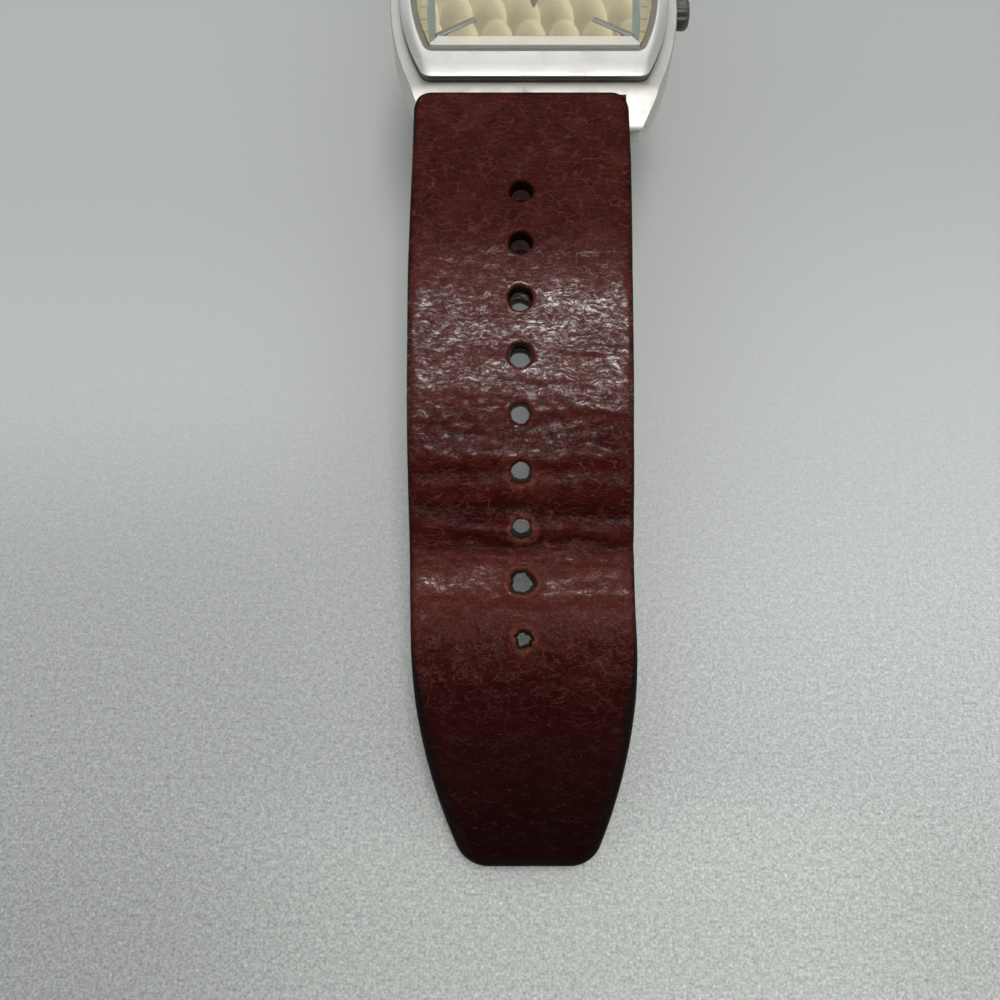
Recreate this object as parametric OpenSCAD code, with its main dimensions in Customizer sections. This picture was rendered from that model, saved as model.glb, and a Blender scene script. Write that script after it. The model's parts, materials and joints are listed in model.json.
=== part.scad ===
// Barrel-shaped wristwatch on a two-layer leather strap. It stands as an arch on its strap ends.
// +X points to the crown, +Y to 12 o'clock and +Z up. The origin is on the table, under the
// middle of the dial. Heights inside the watch head are counted from the case back.

/* [Case] */
// Width of the case across the dial, without the crown
case_w = 36.9; // [36.5:0.1:37.4]
// Length of the case between its two strap ends
case_l = 32.0; // [31.8:0.1:32.2]
// Width across the outer sides of a pair of lug tips
lug_tips_w = 26.8; // [26.7:0.1:27.6]
// Distance between the inner sides of a pair of lugs
lug_gap = 22.4; // [22.2:0.1:22.6]
// Height of the case's flat top edge over the case back
case_h = 8.6; // [8.5:0.1:8.8]

/* [Bezel and window] */
// Width of the bezel
bezel_w = 34.3; // [34:0.1:34.6]
// Length of the bezel
bezel_l = 29.0; // [28.6:0.1:29.2]
// Height of the bezel over the case's top edge
bezel_h = 1.6; // [1.5:0.1:1.9]
// Width of the window in the bezel
window_w = 31.2; // [31:0.1:31.4]
// Length of the window in the bezel
window_l = 21.6; // [21.5:0.1:21.8]

/* [Crown] */
// Diameter of the crown
crown_d = 4.0; // [3.8:0.1:4.6]
// Number of flutes round the crown
crown_flutes = 10; // [8:1:12]
// How far the crown stands out from the case
crown_out = 1.9; // [1.6:0.1:2]

/* [Strap] */
// Width of the strap
strap_w = 26.2; // [25.8:0.1:26.3]
// Thickness of the top leather
top_t = 1.7; // [1.5:0.1:1.9]
// Thickness of the lining leather
lining_t = 1.6; // [1.4:0.1:1.8]
// Diameter of the punched holes
hole_d = 2.3; // [2:0.1:2.6]
// Distance between the punched holes
hole_pitch = 6.6; // [6.3:0.1:6.8]
// Number of punched holes
hole_count = 9; // [5:1:9]
// How far the worn long half has crept towards 9 o'clock
strap_creep = 1.4; // [0:0.1:1.7]

/* [Buckle] */
// Length of the buckle from its bar to its far edge
buckle_l = 16.0; // [15:0.5:17]
// Clear width inside the buckle
buckle_gap = 26.8; // [26.6:0.1:27.4]
// Height of the room for the strap end in a keeper
keeper_room = 4.4; // [4.3:0.1:4.8]

/* [Hidden] */
$fn = 48;

// Colours of the finishes
steel = [0.78, 0.78, 0.76];
steel_dark = [0.60, 0.61, 0.62];
brass = [0.80, 0.68, 0.40];
cream = [0.78, 0.73, 0.60];
black = [0.12, 0.12, 0.13];
leather = [0.24, 0.10, 0.09];
lining_red = [0.30, 0.15, 0.12];
glass = [0.85, 0.90, 0.92, 0.35];
copper = [0.72, 0.42, 0.25];
green = [0.10, 0.34, 0.24];

// Side profile of the long strap half, from the case outwards: length and slope at the end,
// in degrees below level. It leaves the case at first_slope and rests on the table at its tip.
first_slope = 2;
long_run = [[12, 5.8], [24, 19.4], [18, 33.3], [5, 16.8], [6, 10.8], [10, 32.3], [19.3, 32.3]];
long_len = 94.3;
short_slope = 31.2;

// Spring bars
bar_h = 5.3;
bar_y = case_l / 2 + 2.6;
bar_r = 0.9;
bar_bore_r = 0.6;
bar_half = 10.3;
pin_r = 0.4;
pin_hole_r = 0.45;
pin_end = 12.9;
lug_boss_r = 1.65;
loop_r = 2.0;
run = 0.05;

// A small overlap that lets a cutter pass through a face
cut = 0.1;

// Point and slope after a distance s along a run of arcs, from the point p and the slope a
function walk(run, s, a, p, i = 0) =
    i >= len(run) || s <= 0 ? [p[0], p[1], a] :
    let (l = min(s, run[i][0]), b = a + (run[i][1] - a) * l / run[i][0], d = b - a,
         chord = abs(d) < 0.01 ? l : l * sin(d / 2) / (d * PI / 360))
    walk(run, s - run[i][0], b, p + chord * [cos((a + b) / 2), -sin((a + b) / 2)], i + 1);

// The point that lies n above the run at distance s
function above(run, s, n, p) =
    let (w = walk(run, s, first_slope, p)) [w[0] + n * sin(w[2]), w[1] + n * cos(w[2])];

// Heights over the table, worked out from the long half resting on its tip
tip_slope = long_run[len(long_run) - 1][1];
long_drop = -walk(long_run, long_len, first_slope, [0, 0])[1];
run_gap = 0.1;
bar_z = long_drop + lining_t * cos(tip_slope) - loop_r - run_gap;
back_z = bar_z - bar_h;
start = [case_l / 2 + run_gap, bar_z + loop_r + run_gap];
// Distance along the run at which it passes over the spring bar
bar_s = bar_y - start[0];
// Gap between the case wall and the cut ends of the top leathers
end_gap = 0.15;

// The short half runs down until the loop round the buckle's bar rests on the table
buckle_bar_z = loop_r;
short_arcs = [[12, first_slope], [26, short_slope]];
arcs_len = short_arcs[0][0] + short_arcs[1][0];
arcs_end = walk(short_arcs, arcs_len, first_slope, start);
short_straight = (arcs_end[1] - buckle_bar_z - loop_r * cos(short_slope)) / sin(short_slope);
short_run = concat(short_arcs, [[short_straight, short_slope]]);
short_len = arcs_len + short_straight;
buckle_bar = above(short_run, short_len, -loop_r, start);

// Barrel outline: half width a at the middle, half width c at the ends, half length b,
// corners rounded by r. The long sides are arcs through (a, 0) and (c, b).
function arc(c, r, a0, a1, n) = [for (i = [0:n]) let (t = a0 + (a1 - a0) * i / n)
    c + r * [cos(t), sin(t)]];
function barrel(a, b, c, r) =
    let (ai = a - r, bi = b - r, ci = c - r, big = (bi * bi + pow(ai - ci, 2)) / (2 * (ai - ci)),
         th = asin(bi / big),
         quarter = concat(arc([ai - big, 0], big + r, 0, th, 8), arc([ci, bi], r, th + 15, 90, 4)))
    concat(quarter, [for (i = [len(quarter) - 1:-1:0]) [-quarter[i][0], quarter[i][1]]],
           [for (i = [1:len(quarter) - 1]) [-quarter[i][0], -quarter[i][1]]],
           [for (i = [len(quarter) - 1:-1:1]) [quarter[i][0], -quarter[i][1]]]);

// Outlines of the head: [a, b, c, r]
lug_end = bar_y + lug_boss_r;
case_form = [case_w / 2, lug_end, lug_tips_w / 2, 1.2];
bezel_form = [bezel_w / 2, bezel_l / 2, bezel_w / 2 - 2.95, 1.5];
window_form = [window_w / 2, window_l / 2, window_w / 2 - 1.85, 1.2];
cavity_form = [15.2, 10.6, 13.8, 1.5];
dial_form = [16.2, 11.6, 14.5, 1.2];
back_form = [15.95, 13.15, 14.5, 1.6];

function grown(f, d) = [f[0] + d, f[1] + d, f[2] + d, max(f[3] + d, 0.3)];
module plate(f, z0, z1) {
    translate([0, 0, z0]) linear_extrude(z1 - z0) polygon(barrel(f[0], f[1], f[2], f[3]));
}

// Solid through a stack of barrel outlines, each drawn in by an amount: [[height, inset], ...]
module stack(f, levels) {
    rings = [for (l = levels) let (g = grown(f, -l[1]))
        [for (p = barrel(g[0], g[1], g[2], g[3])) [p[0], p[1], l[0]]]];
    n = len(rings[0]);
    last = len(rings) - 1;
    polyhedron(
        points = [for (ring = rings) each ring],
        faces = concat(
            [[for (i = [0:n - 1]) i]],
            [[for (i = [n - 1:-1:0]) last * n + i]],
            [for (k = [0:last - 1], i = [0:n - 1])
                [k * n + i, (k + 1) * n + i, (k + 1) * n + (i + 1) % n, k * n + (i + 1) % n]]));
}

// Draws a profile of (y, z) points along X, from x0 to x1
module across(points, x0, x1) {
    translate([x0, 0, 0]) rotate([90, 0, 90]) linear_extrude(x1 - x0) polygon(points);
}

// Cylinder along X
module rod(x0, x1, r, y = 0, z = 0) {
    translate([x0, y, z]) rotate([0, 90, 0]) cylinder(h = x1 - x0, r = r);
}

module in_head() {
    translate([0, 0, back_z]) children();
}
module both_ends() {
    children();
    mirror([0, 1, 0]) children();
}
module both_sides() {
    children();
    mirror([1, 0, 0]) children();
}

// Levels inside the head, counted from the case back
dial_top = 8.3;
dial_t = 0.5;
dial_seat = dial_top - dial_t;
back_seat = 1.6;
back_t = 1.2;

// Case middle: its side profile falls in one convex sweep from the bezel to the lug's round
// end. The sweep is a curve with one bend point, tangent to the flat top and to the lug's end.
case_base = 0.6;
case_wall_y = case_l / 2;
sweep_top = [case_l / 2 - 1.4, case_h];
sweep_bend = [case_l / 2 - 0.2, case_h];
lug_under = [[13.6, case_base], [15.4, 1.2], [17.2, bar_h - 2.4]];
lug_end_arc = arc([bar_y, bar_h], lug_boss_r, -60, 62, 12);
sweep_low = lug_end_arc[len(lug_end_arc) - 1];
sweep = [for (i = [1:14]) let (u = i / 14)
    sweep_low * pow(1 - u, 2) + sweep_bend * 2 * u * (1 - u) + sweep_top * u * u];
case_side = concat(lug_under, lug_end_arc, sweep);
case_profile = concat(case_side,
    [for (i = [len(case_side) - 1:-1:0]) [-case_side[i][0], case_side[i][1]]]);
crown_z = 5.5;
crown_pocket_x = 17.4;
crown_room = 0.35;
tube_r = 1.0;
back_screw_x = 12.4;
back_screw_y = 12.0;

module case_middle() {
    color(steel) in_head() difference() {
        intersection() {
            stack(case_form, [[case_base, 1.0], [1.6, 0.3], [3.4, 0], [6.2, 0], [case_h - 0.4, 0.05],
                              [case_h, 0.2]]);
            across(case_profile, -case_w, case_w);
        }
        // Gaps between the lugs
        both_ends() translate([-lug_gap / 2, case_wall_y, -cut])
            cube([lug_gap, 10, case_h + 2 * cut]);
        // Movement space, dial seat and seat of the case back
        plate(cavity_form, 0, dial_seat + cut);
        plate(grown(dial_form, run), dial_seat, case_h + cut);
        plate(grown(back_form, run), 0, back_seat);
        // Case back screw holes
        for (x = [-1, 1], y = [-1, 1]) translate([x * back_screw_x, y * back_screw_y, 1])
            cylinder(h = 2.4, r = 0.4);
        // Spring-bar holes through the lugs
        both_ends() rod(-case_w / 2, case_w / 2, pin_hole_r, bar_y, bar_h);
        // Crown tube hole and crown pocket
        rod(14, case_w / 2, tube_r, 0, crown_z);
        rod(crown_pocket_x, case_w, crown_d / 2 + crown_room, 0, crown_z);
    }
}

// Bezel: a frame with a gently sloping top and an upright side over a shadow groove, and a
// spigot into the case
bezel_top = case_h + bezel_h;
module bezel() {
    color(steel) in_head() difference() {
        union() {
            stack(bezel_form, [[case_h, 0.5], [case_h + 0.3, 0.5], [case_h + 0.4, 0],
                               [bezel_top - 0.5, 0], [bezel_top - 0.39, 0.12],
                               [bezel_top - 0.2, 0.8], [bezel_top - 0.07, 1.5],
                               [bezel_top, 2.2]]);
            plate(dial_form, dial_top, case_h + cut);
        }
        plate(window_form, dial_seat, bezel_top + cut);
        // Small bevel round the window
        stack(window_form, [[bezel_top - 0.2, cut], [bezel_top + 0.1, -0.2]]);
    }
}

crystal_base = 9.4;
seal_w = 0.6;
module crystal() {
    color(glass) in_head()
        stack(grown(window_form, -seal_w), [[crystal_base, 0], [bezel_top, 0],
                                           [bezel_top + 0.25, 0.05], [bezel_top + 0.45, 1.25]]);
}

module crystal_gasket() {
    color(black) in_head() difference() {
        plate(window_form, crystal_base, bezel_top - 0.3);
        plate(grown(window_form, -seal_w), crystal_base - cut, bezel_top);
    }
}

// Dial ring: a flange that slopes down to the dial and carries the crystal
module dial_ring() {
    color(steel_dark) in_head() difference() {
        plate(grown(window_form, -run), dial_top, crystal_base);
        stack(grown(window_form, -0.9), [[dial_top - cut, 0.05], [dial_top, 0.05],
                                         [crystal_base + cut, -0.15]]);
    }
}

dial_hole_r = 0.95;
module dial() {
    color(cream) in_head() difference() {
        plate(dial_form, dial_seat, dial_top);
        translate([0, 0, dial_top - 1]) cylinder(h = 2, r = dial_hole_r);
    }
}

// Hour markers: faceted batons on the dial; [hour, inner radius, outer radius]
marker_w = 0.75;
marker_h = 0.22;
marker_list = [[1, 9.7, 11.0], [2, 8.7, 14.1], [3, 9.6, 14.1], [4, 8.7, 14.1], [5, 9.7, 11.0],
    [6, 8.7, 9.6], [7, 9.7, 11.0], [8, 8.7, 14.1], [9, 9.6, 14.1], [10, 8.7, 14.1],
    [11, 9.7, 11.0], [12, 8.7, 9.6]];
module hour_markers() {
    w = marker_w / 2;
    color(steel_dark) in_head() for (m = marker_list)
        rotate([0, 0, 90 - 30 * m[0]]) translate([m[1], 0, dial_top]) rotate([90, 0, 90])
            linear_extrude(m[2] - m[1])
                polygon([[-w, 0], [w, 0], [w, marker_h / 2], [w / 2, marker_h],
                         [-w / 2, marker_h], [-w, marker_h / 2]]);
}

// Case back with countersunk screws
module back_screw_places() {
    for (x = [-1, 1], y = [-1, 1]) translate([x * back_screw_x, y * back_screw_y, 0])
        children();
}
module case_back() {
    color(steel) in_head() difference() {
        stack(back_form, [[0, 1.6], [0.25, 0.9], [back_t / 2, 0], [back_t, 0]]);
        back_screw_places() {
            translate([0, 0, -cut]) cylinder(h = 0.6, r = 0.75);
            cylinder(h = 2, r = 0.45);
        }
    }
}
module case_back_gasket() {
    color(black) in_head() difference() {
        plate(grown(cavity_form, 0.5), back_t, back_seat);
        plate(grown(cavity_form, 0.1), back_t - cut, back_seat + cut);
    }
}
module case_back_screws() {
    color(steel_dark) in_head() back_screw_places() difference() {
        union() {
            translate([0, 0, 0.05]) cylinder(h = 0.45, r = 0.7);
            cylinder(h = 3.2, r = 0.38);
        }
        translate([-1, -0.1, -cut]) cube([2, 0.2, 0.3]);
    }
}

// Movement levels, counted from the case back
plate_z = 6.0;
plate_top = 6.9;
bridge_z = 2.9;
bridge_top = 3.7;
move_w = 18.0;
move_l = 15.6;
pivot_gap = 0.03;
arbor_r = 0.15;
centre_r = 0.35;

// Places of the train: third wheel, intermediate wheel, rotor and the wheel under the dial
third_at = [1.225, 2.122];
middle_at = [3.528, 2.957];
rotor_at = [4.2, 5.0];
motion_at = [0, -2.45];
// Places and lower ends of the movement's screws
bridge_screws = [[-1.0, -2.2], [6.0, 6.3]];
clamp_screw = [-1.1, -4.6];
stator_screw = [-8.2, 6.6];
screw_r = 0.3;
screw_head_h = 0.35;

module movement_holder() {
    color(black) in_head() difference() {
        plate(grown(cavity_form, -run), back_seat - cut, dial_seat - run);
        translate([-move_w / 2 - run, -move_l / 2 - run, 1])
            cube([move_w + 2 * run, move_l + 2 * run, 8]);
        // Channel for the stem and its slide
        translate([5, -2, 3.9]) cube([12, 4, 2.6]);
        rod(5, 17, 1.1, 0, crown_z);
    }
}

module main_plate() {
    color(brass) in_head() difference() {
        union() {
            translate([-move_w / 2, -move_l / 2, plate_z])
                cube([move_w, move_l, dial_seat - plate_z]);
            // Pillars that carry the train bridge
            for (p = bridge_screws) translate([p[0], p[1], bridge_top])
                cylinder(h = plate_z - bridge_top + cut, r = 0.55);
        }
        // Sunk floor for the wheels under the dial
        translate([-move_w / 2 + 0.8, -move_l / 2 + 0.8, plate_top])
            cube([move_w - 1.6, move_l - 1.6, 1]);
        // Slot over the stem's pinion
        translate([6, -1, plate_z - cut]) cube([4, 2, 0.55]);
        cylinder(h = 9, r = centre_r + pivot_gap);
        for (p = [third_at, middle_at, rotor_at]) translate([p[0], p[1], plate_z - cut])
            cylinder(h = 0.5, r = arbor_r + pivot_gap);
        for (p = concat(bridge_screws, [clamp_screw, stator_screw]))
            translate([p[0], p[1], 3]) cylinder(h = 3.7, r = screw_r);
    }
    // Post of the wheel under the dial
    color(brass) in_head() translate([motion_at[0], motion_at[1], plate_top - 0.01])
        cylinder(h = 0.8, r = arbor_r);
}

module train_bridge() {
    color(steel_dark) in_head() difference() {
        translate([0, 0, bridge_z]) linear_extrude(bridge_top - bridge_z)
            polygon([[-1.9, -3.0], [0.2, -3.0], [6.1, 2.2], [6.9, 7.1], [3.2, 7.1],
                     [-0.6, 3.6], [-2.4, 1.0]]);
        translate([0, 0, bridge_top - 0.4]) cylinder(h = 1, r = 0.25 + pivot_gap);
        for (p = [third_at, middle_at, rotor_at]) translate([p[0], p[1], bridge_top - 0.4])
            cylinder(h = 1, r = arbor_r + pivot_gap);
        for (p = bridge_screws) translate([p[0], p[1], 2]) {
            cylinder(h = 2, r = screw_r);
            cylinder(h = 1.25, r = 0.6);
        }
    }
}

stator_z = 5.5;
module stator() {
    color(steel_dark) in_head() difference() {
        translate([0, 0, stator_z]) linear_extrude(plate_z - stator_z)
            polygon([[-8.8, 5.6], [1.6, 5.6], [3.0, 3.6], [5.3, 3.6], [5.3, 7.4], [-8.8, 7.4]]);
        translate([rotor_at[0], rotor_at[1], 5]) cylinder(h = 2, r = 0.7);
        translate([stator_screw[0], stator_screw[1], 5]) cylinder(h = 2, r = screw_r + run);
    }
}

coil_y = 6.4;
coil_z = 4.5;
module coil_core() {
    color(steel_dark) in_head() {
        translate([-7.6, coil_y - 0.4, coil_z - 0.2]) cube([8.6, 0.8, 0.4]);
        for (x = [-7.6, 0.5]) translate([x, coil_y - 0.4, coil_z]) cube([0.5, 0.8, 1.0]);
    }
}
module coil_winding() {
    color(copper) in_head() difference() {
        rod(-7.0, 0.4, 0.95, coil_y, coil_z);
        translate([-8, coil_y - 0.4, coil_z - 0.2]) cube([10, 0.8, 0.4]);
    }
}

battery_at = [-5.0, -3.4];
battery_z = 3.8;
module battery() {
    color(steel) in_head() translate([battery_at[0], battery_at[1], battery_z])
        rotate_extrude() polygon([[0, 0], [2.9, 0], [3.1, 0.25], [3.2, 0.25], [3.4, 0.5],
                                  [3.4, 1.9], [3.2, 2.15], [0, 2.15]]);
}
clamp_t = 0.2;
module battery_clamp() {
    color(brass) in_head() difference() {
        union() {
            translate([-8.7, -5.2, battery_z - clamp_t]) cube([8.2, 1.2, clamp_t]);
            translate([clamp_screw[0] - 0.6, -5.2, battery_z - clamp_t / 2])
                cube([1.2, 1.2, plate_z - battery_z + clamp_t / 2]);
        }
        translate([clamp_screw[0], clamp_screw[1], 3]) cylinder(h = 4, r = screw_r);
    }
}
module circuit_block() {
    color(green) in_head() difference() {
        translate([1.2, -7.3, 4.7]) cube([7.4, 4.6, plate_z - 4.7]);
        translate([2.4, -3.9, 4.5]) cube([2.2, 1.0, 0.5]);
    }
}
module quartz_can() {
    color(steel) in_head() rod(2.0, 7.0, 0.6, -5.6, 4.1);
}
module movement_screws() {
    color(steel) in_head() {
        for (p = bridge_screws) screw(p, bridge_z, 6.6);
        screw(clamp_screw, battery_z - clamp_t - screw_head_h, 6.6);
        screw(stator_screw, stator_z - screw_head_h, 6.6);
    }
}
// Screw with its head's lower side at z0 and its tip at z1
module screw(p, z0, z1) {
    translate([p[0], p[1], z0]) difference() {
        union() {
            cylinder(h = screw_head_h, r = 0.55);
            cylinder(h = z1 - z0, r = screw_r - 0.01);
        }
        translate([-1, -0.08, -cut]) cube([2, 0.16, 0.25]);
    }
}

// Toothed wheel round the Z axis, with n teeth and outer radius r
module toothed(n, r, z0, z1, depth = 0.12) {
    translate([0, 0, z0]) linear_extrude(z1 - z0)
        polygon([for (i = [0:n - 1], k = [0:3]) let (t = 360 * (i + [0, 0.3, 0.5, 0.8][k]) / n)
            (k < 2 ? r : r - depth) * [cos(t), sin(t)]]);
}

// Wheel and pinion on one arbor, turning between the bridge and the main plate
module wheel_set(at, wheel_teeth, wheel_r, wheel_z, pinion_teeth, pinion_r, pinion_z) {
    color(brass) in_head() translate([at[0], at[1], 0]) {
        toothed(wheel_teeth, wheel_r, wheel_z, wheel_z + 0.2);
        toothed(pinion_teeth, pinion_r, pinion_z, pinion_z + 0.4, 0.08);
        translate([0, 0, bridge_top - 0.3]) cylinder(h = 2.9, r = arbor_r);
        translate([0, 0, bridge_top + 0.1]) cylinder(h = 2.1, r = arbor_r + 0.05);
    }
}

module centre_wheel() {
    color(brass) in_head() {
        toothed(36, 1.8, 5.5, 5.7);
        translate([0, 0, bridge_top - 0.3]) cylinder(h = 1.9, r = 0.25);
        translate([0, 0, 5.3]) cylinder(h = 1.8, r = centre_r);
        toothed(12, 0.6, 7.0, 7.35, 0.08);
        translate([0, 0, 7.05]) cylinder(h = 2.0, r = 0.5);
    }
}
module third_wheel() {
    wheel_set(third_at, 40, 2.0, 5.0, 12, 0.6, 5.4);
}
module intermediate_wheel() {
    wheel_set(middle_at, 36, 1.8, 4.4, 8, 0.4, 4.9);
}
module rotor() {
    color(steel_dark) in_head() translate([rotor_at[0], rotor_at[1], 0]) {
        toothed(6, 0.3, 4.3, 4.7, 0.06);
        translate([0, 0, 5.3]) cylinder(h = 0.6, r = 0.6);
        translate([0, 0, bridge_top - 0.3]) cylinder(h = 2.9, r = arbor_r);
    }
}
module motion_wheel() {
    color(brass) in_head() translate([motion_at[0], motion_at[1], 0]) difference() {
        union() {
            toothed(36, 1.8, 7.05, 7.2);
            toothed(10, 0.48, 7.2 - 0.01, 7.62, 0.08);
        }
        translate([0, 0, 6]) cylinder(h = 3, r = arbor_r + pivot_gap);
    }
}
pipe_r = 0.85;
module hour_wheel() {
    color(brass) in_head() difference() {
        union() {
            toothed(40, 1.92, 7.45, 7.6);
            translate([0, 0, 7.46]) cylinder(h = 1.22, r = pipe_r);
        }
        translate([0, 0, 7]) cylinder(h = 3, r = 0.5 + run);
    }
}

// A hand lying along the Y axis: ring round its pipe, pointed blade and pointed tail
module hand(z, ring_r, bore_r, blade, tail, w) {
    color(steel_dark) in_head() translate([0, 0, z]) difference() {
        union() {
            cylinder(h = 0.18, r = ring_r);
            linear_extrude(0.18) polygon([[-w * 0.3, 0], [-w / 2, blade * 0.55], [0, blade],
                [w / 2, blade * 0.55], [w * 0.3, 0], [w * 0.42, -ring_r], [0, -tail],
                [-w * 0.42, -ring_r]]);
        }
        translate([0, 0, -1]) cylinder(h = 3, r = bore_r);
    }
}
module hour_hand() {
    hand(8.62 - 0.12, 1.25, pipe_r, 6.2, 2.6, 1.15);
}
module minute_hand() {
    hand(8.85, 1.0, 0.5, 9.4, 2.6, 0.95);
}

// Crown, stem and the slide that holds the stem in its groove
crown_face = case_w / 2 + crown_out;
crown_base = crown_pocket_x + 0.2;
groove_x0 = 8.0;
groove_x1 = 8.6;
groove_r = 0.28;
flute_r = 0.42;
module crown_tube() {
    color(steel_dark) in_head() difference() {
        rod(14.6, 18.55, tube_r, 0, crown_z);
        rod(14, 19, 0.5, 0, crown_z);
    }
}
module crown() {
    r = crown_d / 2;
    color(steel) in_head() difference() {
        translate([crown_base, 0, crown_z]) rotate([0, 90, 0]) rotate_extrude()
            polygon([[0, 0], [r - 0.2, 0], [r, 0.25], [r, crown_face - crown_base - 0.45],
                     [r - 0.25, crown_face - crown_base - 0.15],
                     [r - 0.9, crown_face - crown_base], [0, crown_face - crown_base]]);
        // Room for the tube, and the hole for the stem
        rod(crown_base - 1, 18.62, 1.42, 0, crown_z);
        rod(18, 19.2, 0.45, 0, crown_z);
        for (i = [0:crown_flutes - 1]) translate([0, 0, crown_z])
            rotate([360 * i / crown_flutes, 0, 0]) rod(crown_base - 1, crown_face + 1, flute_r, 0,
                                                       r + flute_r / 2);
    }
}
module crown_gasket() {
    color(black) in_head() difference() {
        rod(17.65, 18.05, 1.42, 0, crown_z);
        rod(17, 19, tube_r + 0.04, 0, crown_z);
    }
}
module stem() {
    color(steel_dark) in_head() translate([0, 0, crown_z]) rotate([0, 90, 0]) {
        translate([0, 0, groove_x1]) cylinder(h = 19.2 - groove_x1, r = 0.45);
        translate([0, 0, groove_x0 - 0.1]) cylinder(h = 0.9, r = groove_r);
        translate([0, 0, 7.3]) cylinder(h = groove_x0 - 7.3, r = 0.45);
        toothed(10, 0.8, 6.6, 7.4, 0.15);
    }
}
module setting_slide() {
    color(steel_dark) in_head() {
        translate([6.2, -1.3, 3.95]) cube([2.7, 2.6, 0.3]);
        difference() {
            translate([groove_x0 + 0.1, -1.2, 4.2]) cube([0.4, 2.4, 1.7]);
            rod(7, 9, groove_r + run, 0, crown_z);
            translate([7, -groove_r - run, crown_z]) cube([2, 2 * (groove_r + run), 2]);
        }
    }
}

// Spring bars: a tube with two end pins that a spring pushes out into the lugs
module at_bar() {
    translate([0, bar_y, bar_z]) children();
}
module bar_tube() {
    color(steel) difference() {
        rod(-bar_half, bar_half, bar_r);
        rod(-bar_half + 0.5, bar_half - 0.5, bar_bore_r);
        rod(-bar_half - 1, bar_half + 1, pin_r + run);
    }
}
module bar_pin() {
    color(steel_dark) {
        rod(8.6, pin_end - 0.15, pin_r);
        rod(8.6, 9.1, bar_bore_r - run);
        rod(pin_end - 0.15, pin_end, pin_r - 0.12);
    }
}
module bar_spring() {
    color(steel_dark) difference() {
        rod(-8.6, 8.6, 0.5);
        rod(-9, 9, 0.34);
    }
}
module spring_bar_12() at_bar() bar_tube();
module bar_pin_12_right() at_bar() bar_pin();
module bar_pin_12_left() mirror([1, 0, 0]) bar_pin_12_right();
module bar_spring_12() at_bar() bar_spring();
module spring_bar_6() mirror([0, 1, 0]) spring_bar_12();
module bar_pin_6_right() mirror([0, 1, 0]) bar_pin_12_right();
module bar_pin_6_left() mirror([0, 1, 0]) bar_pin_12_left();
module bar_spring_6() mirror([0, 1, 0]) bar_spring_12();

// Strap. A layer is the band between two offsets from the run, from distance s0 to s1.
step = 2;
// Stations at whole steps, so that the layers share them, with the two ends added
function stations(s0, s1) = concat([s0], [for (i = [floor(s0 / step) + 1:ceil(s1 / step) - 1])
    i * step], [s1]);
function band(run, s0, s1, low, high) = let (at = stations(s0, s1))
    concat([for (s = at) above(run, s, high, start)],
           [for (i = [len(at) - 1:-1:0]) above(run, at[i], low, start)]);

// The lining is thick near a bar, where it is turned round the bar and glued to itself
turned_len = 13;
turned_t = 2 * loop_r - 0.1;
function blend(x) = x <= 0 ? 0 : x >= 1 ? 1 : x * x * (3 - 2 * x);
function lining_low(d) = -turned_t + (turned_t - lining_t) * blend((d - 2) / turned_len);
function lining_band(run, s0, s1, bar0, bar1) = let (at = stations(s0, s1))
    concat([for (s = at) above(run, s, 0, start)],
           [for (i = [len(at) - 1:-1:0])
               above(run, at[i], lining_low(min(at[i] - bar0, bar1 - at[i])), start)]);

// Puts children at distance s on the run, with Z square to the leather and Y outwards
module on_run(run, s) {
    w = walk(run, s, first_slope, start);
    translate([0, w[0], w[1]]) rotate([-w[2], 0, 0]) children();
}

// Tip of the long half: sides on large arcs, which run into the round corners of a flat end
tip_len = 27.5;
tip_r = 70;
tip_corner = 4;
tip_arc_x = strap_w / 2 - tip_r;
corner_x = tip_arc_x + sqrt(pow(tip_r - tip_corner, 2) - pow(tip_len - tip_corner, 2));
corner_from = asin((tip_len - tip_corner) / (tip_r - tip_corner));
tip_side = concat(arc([tip_arc_x, -tip_len], tip_r, 0, corner_from, 10),
                  [for (i = [1:6]) let (t = corner_from + (90 - corner_from) * i / 6)
                      [corner_x, -tip_corner] + tip_corner * [cos(t), sin(t)]]);
module tip_cutter() {
    outline = concat(tip_side, [for (i = [len(tip_side) - 1:-1:0]) [-tip_side[i][0], tip_side[i][1]]]);
    difference() {
        translate([-30, -tip_len, -8]) cube([60, tip_len + 8, 16]);
        translate([0, 0, -9]) linear_extrude(18) polygon(concat(outline,
            [[-strap_w / 2, -tip_len - 2], [strap_w / 2, -tip_len - 2]]));
    }
}

first_hole = 14.0;
module long_cuts() {
    for (i = [0:hole_count - 1]) on_run(long_run, first_hole + i * hole_pitch)
        translate([0, 0, -8]) cylinder(h = 16, r = hole_d / 2);
    on_run(long_run, long_len) tip_cutter();
}

end_corner = 2.2;
module end_corners() {
    both_sides() translate([strap_w / 2 - end_corner, start[0] + end_gap + end_corner, 0])
        difference() {
            translate([0, -end_corner - 1, bar_z - 3]) cube([end_corner + 1, end_corner + 1, 12]);
            translate([0, 0, bar_z - 4]) cylinder(h = 14, r = end_corner);
        }
}

// Room under a top leather's end, which is skived where it lies over the lugs' sweep
lug_room = [for (p = concat([[bar_y + 1, bar_h]], [sweep_low], sweep, [[bar_y - 5, bar_h]]))
    p + [0, run_gap]];
module skiving() {
    both_sides() in_head() across(lug_room, lug_gap / 2 - run_gap, strap_w);
}

module strap_long_top() {
    color(leather) mirror([0, 1, 0]) difference() {
        translate([-strap_creep, 0, 0]) difference() {
            across(band(long_run, end_gap, long_len, 0, top_t), -strap_w / 2, strap_w / 2);
            long_cuts();
            end_corners();
        }
        skiving();
    }
}

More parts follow.
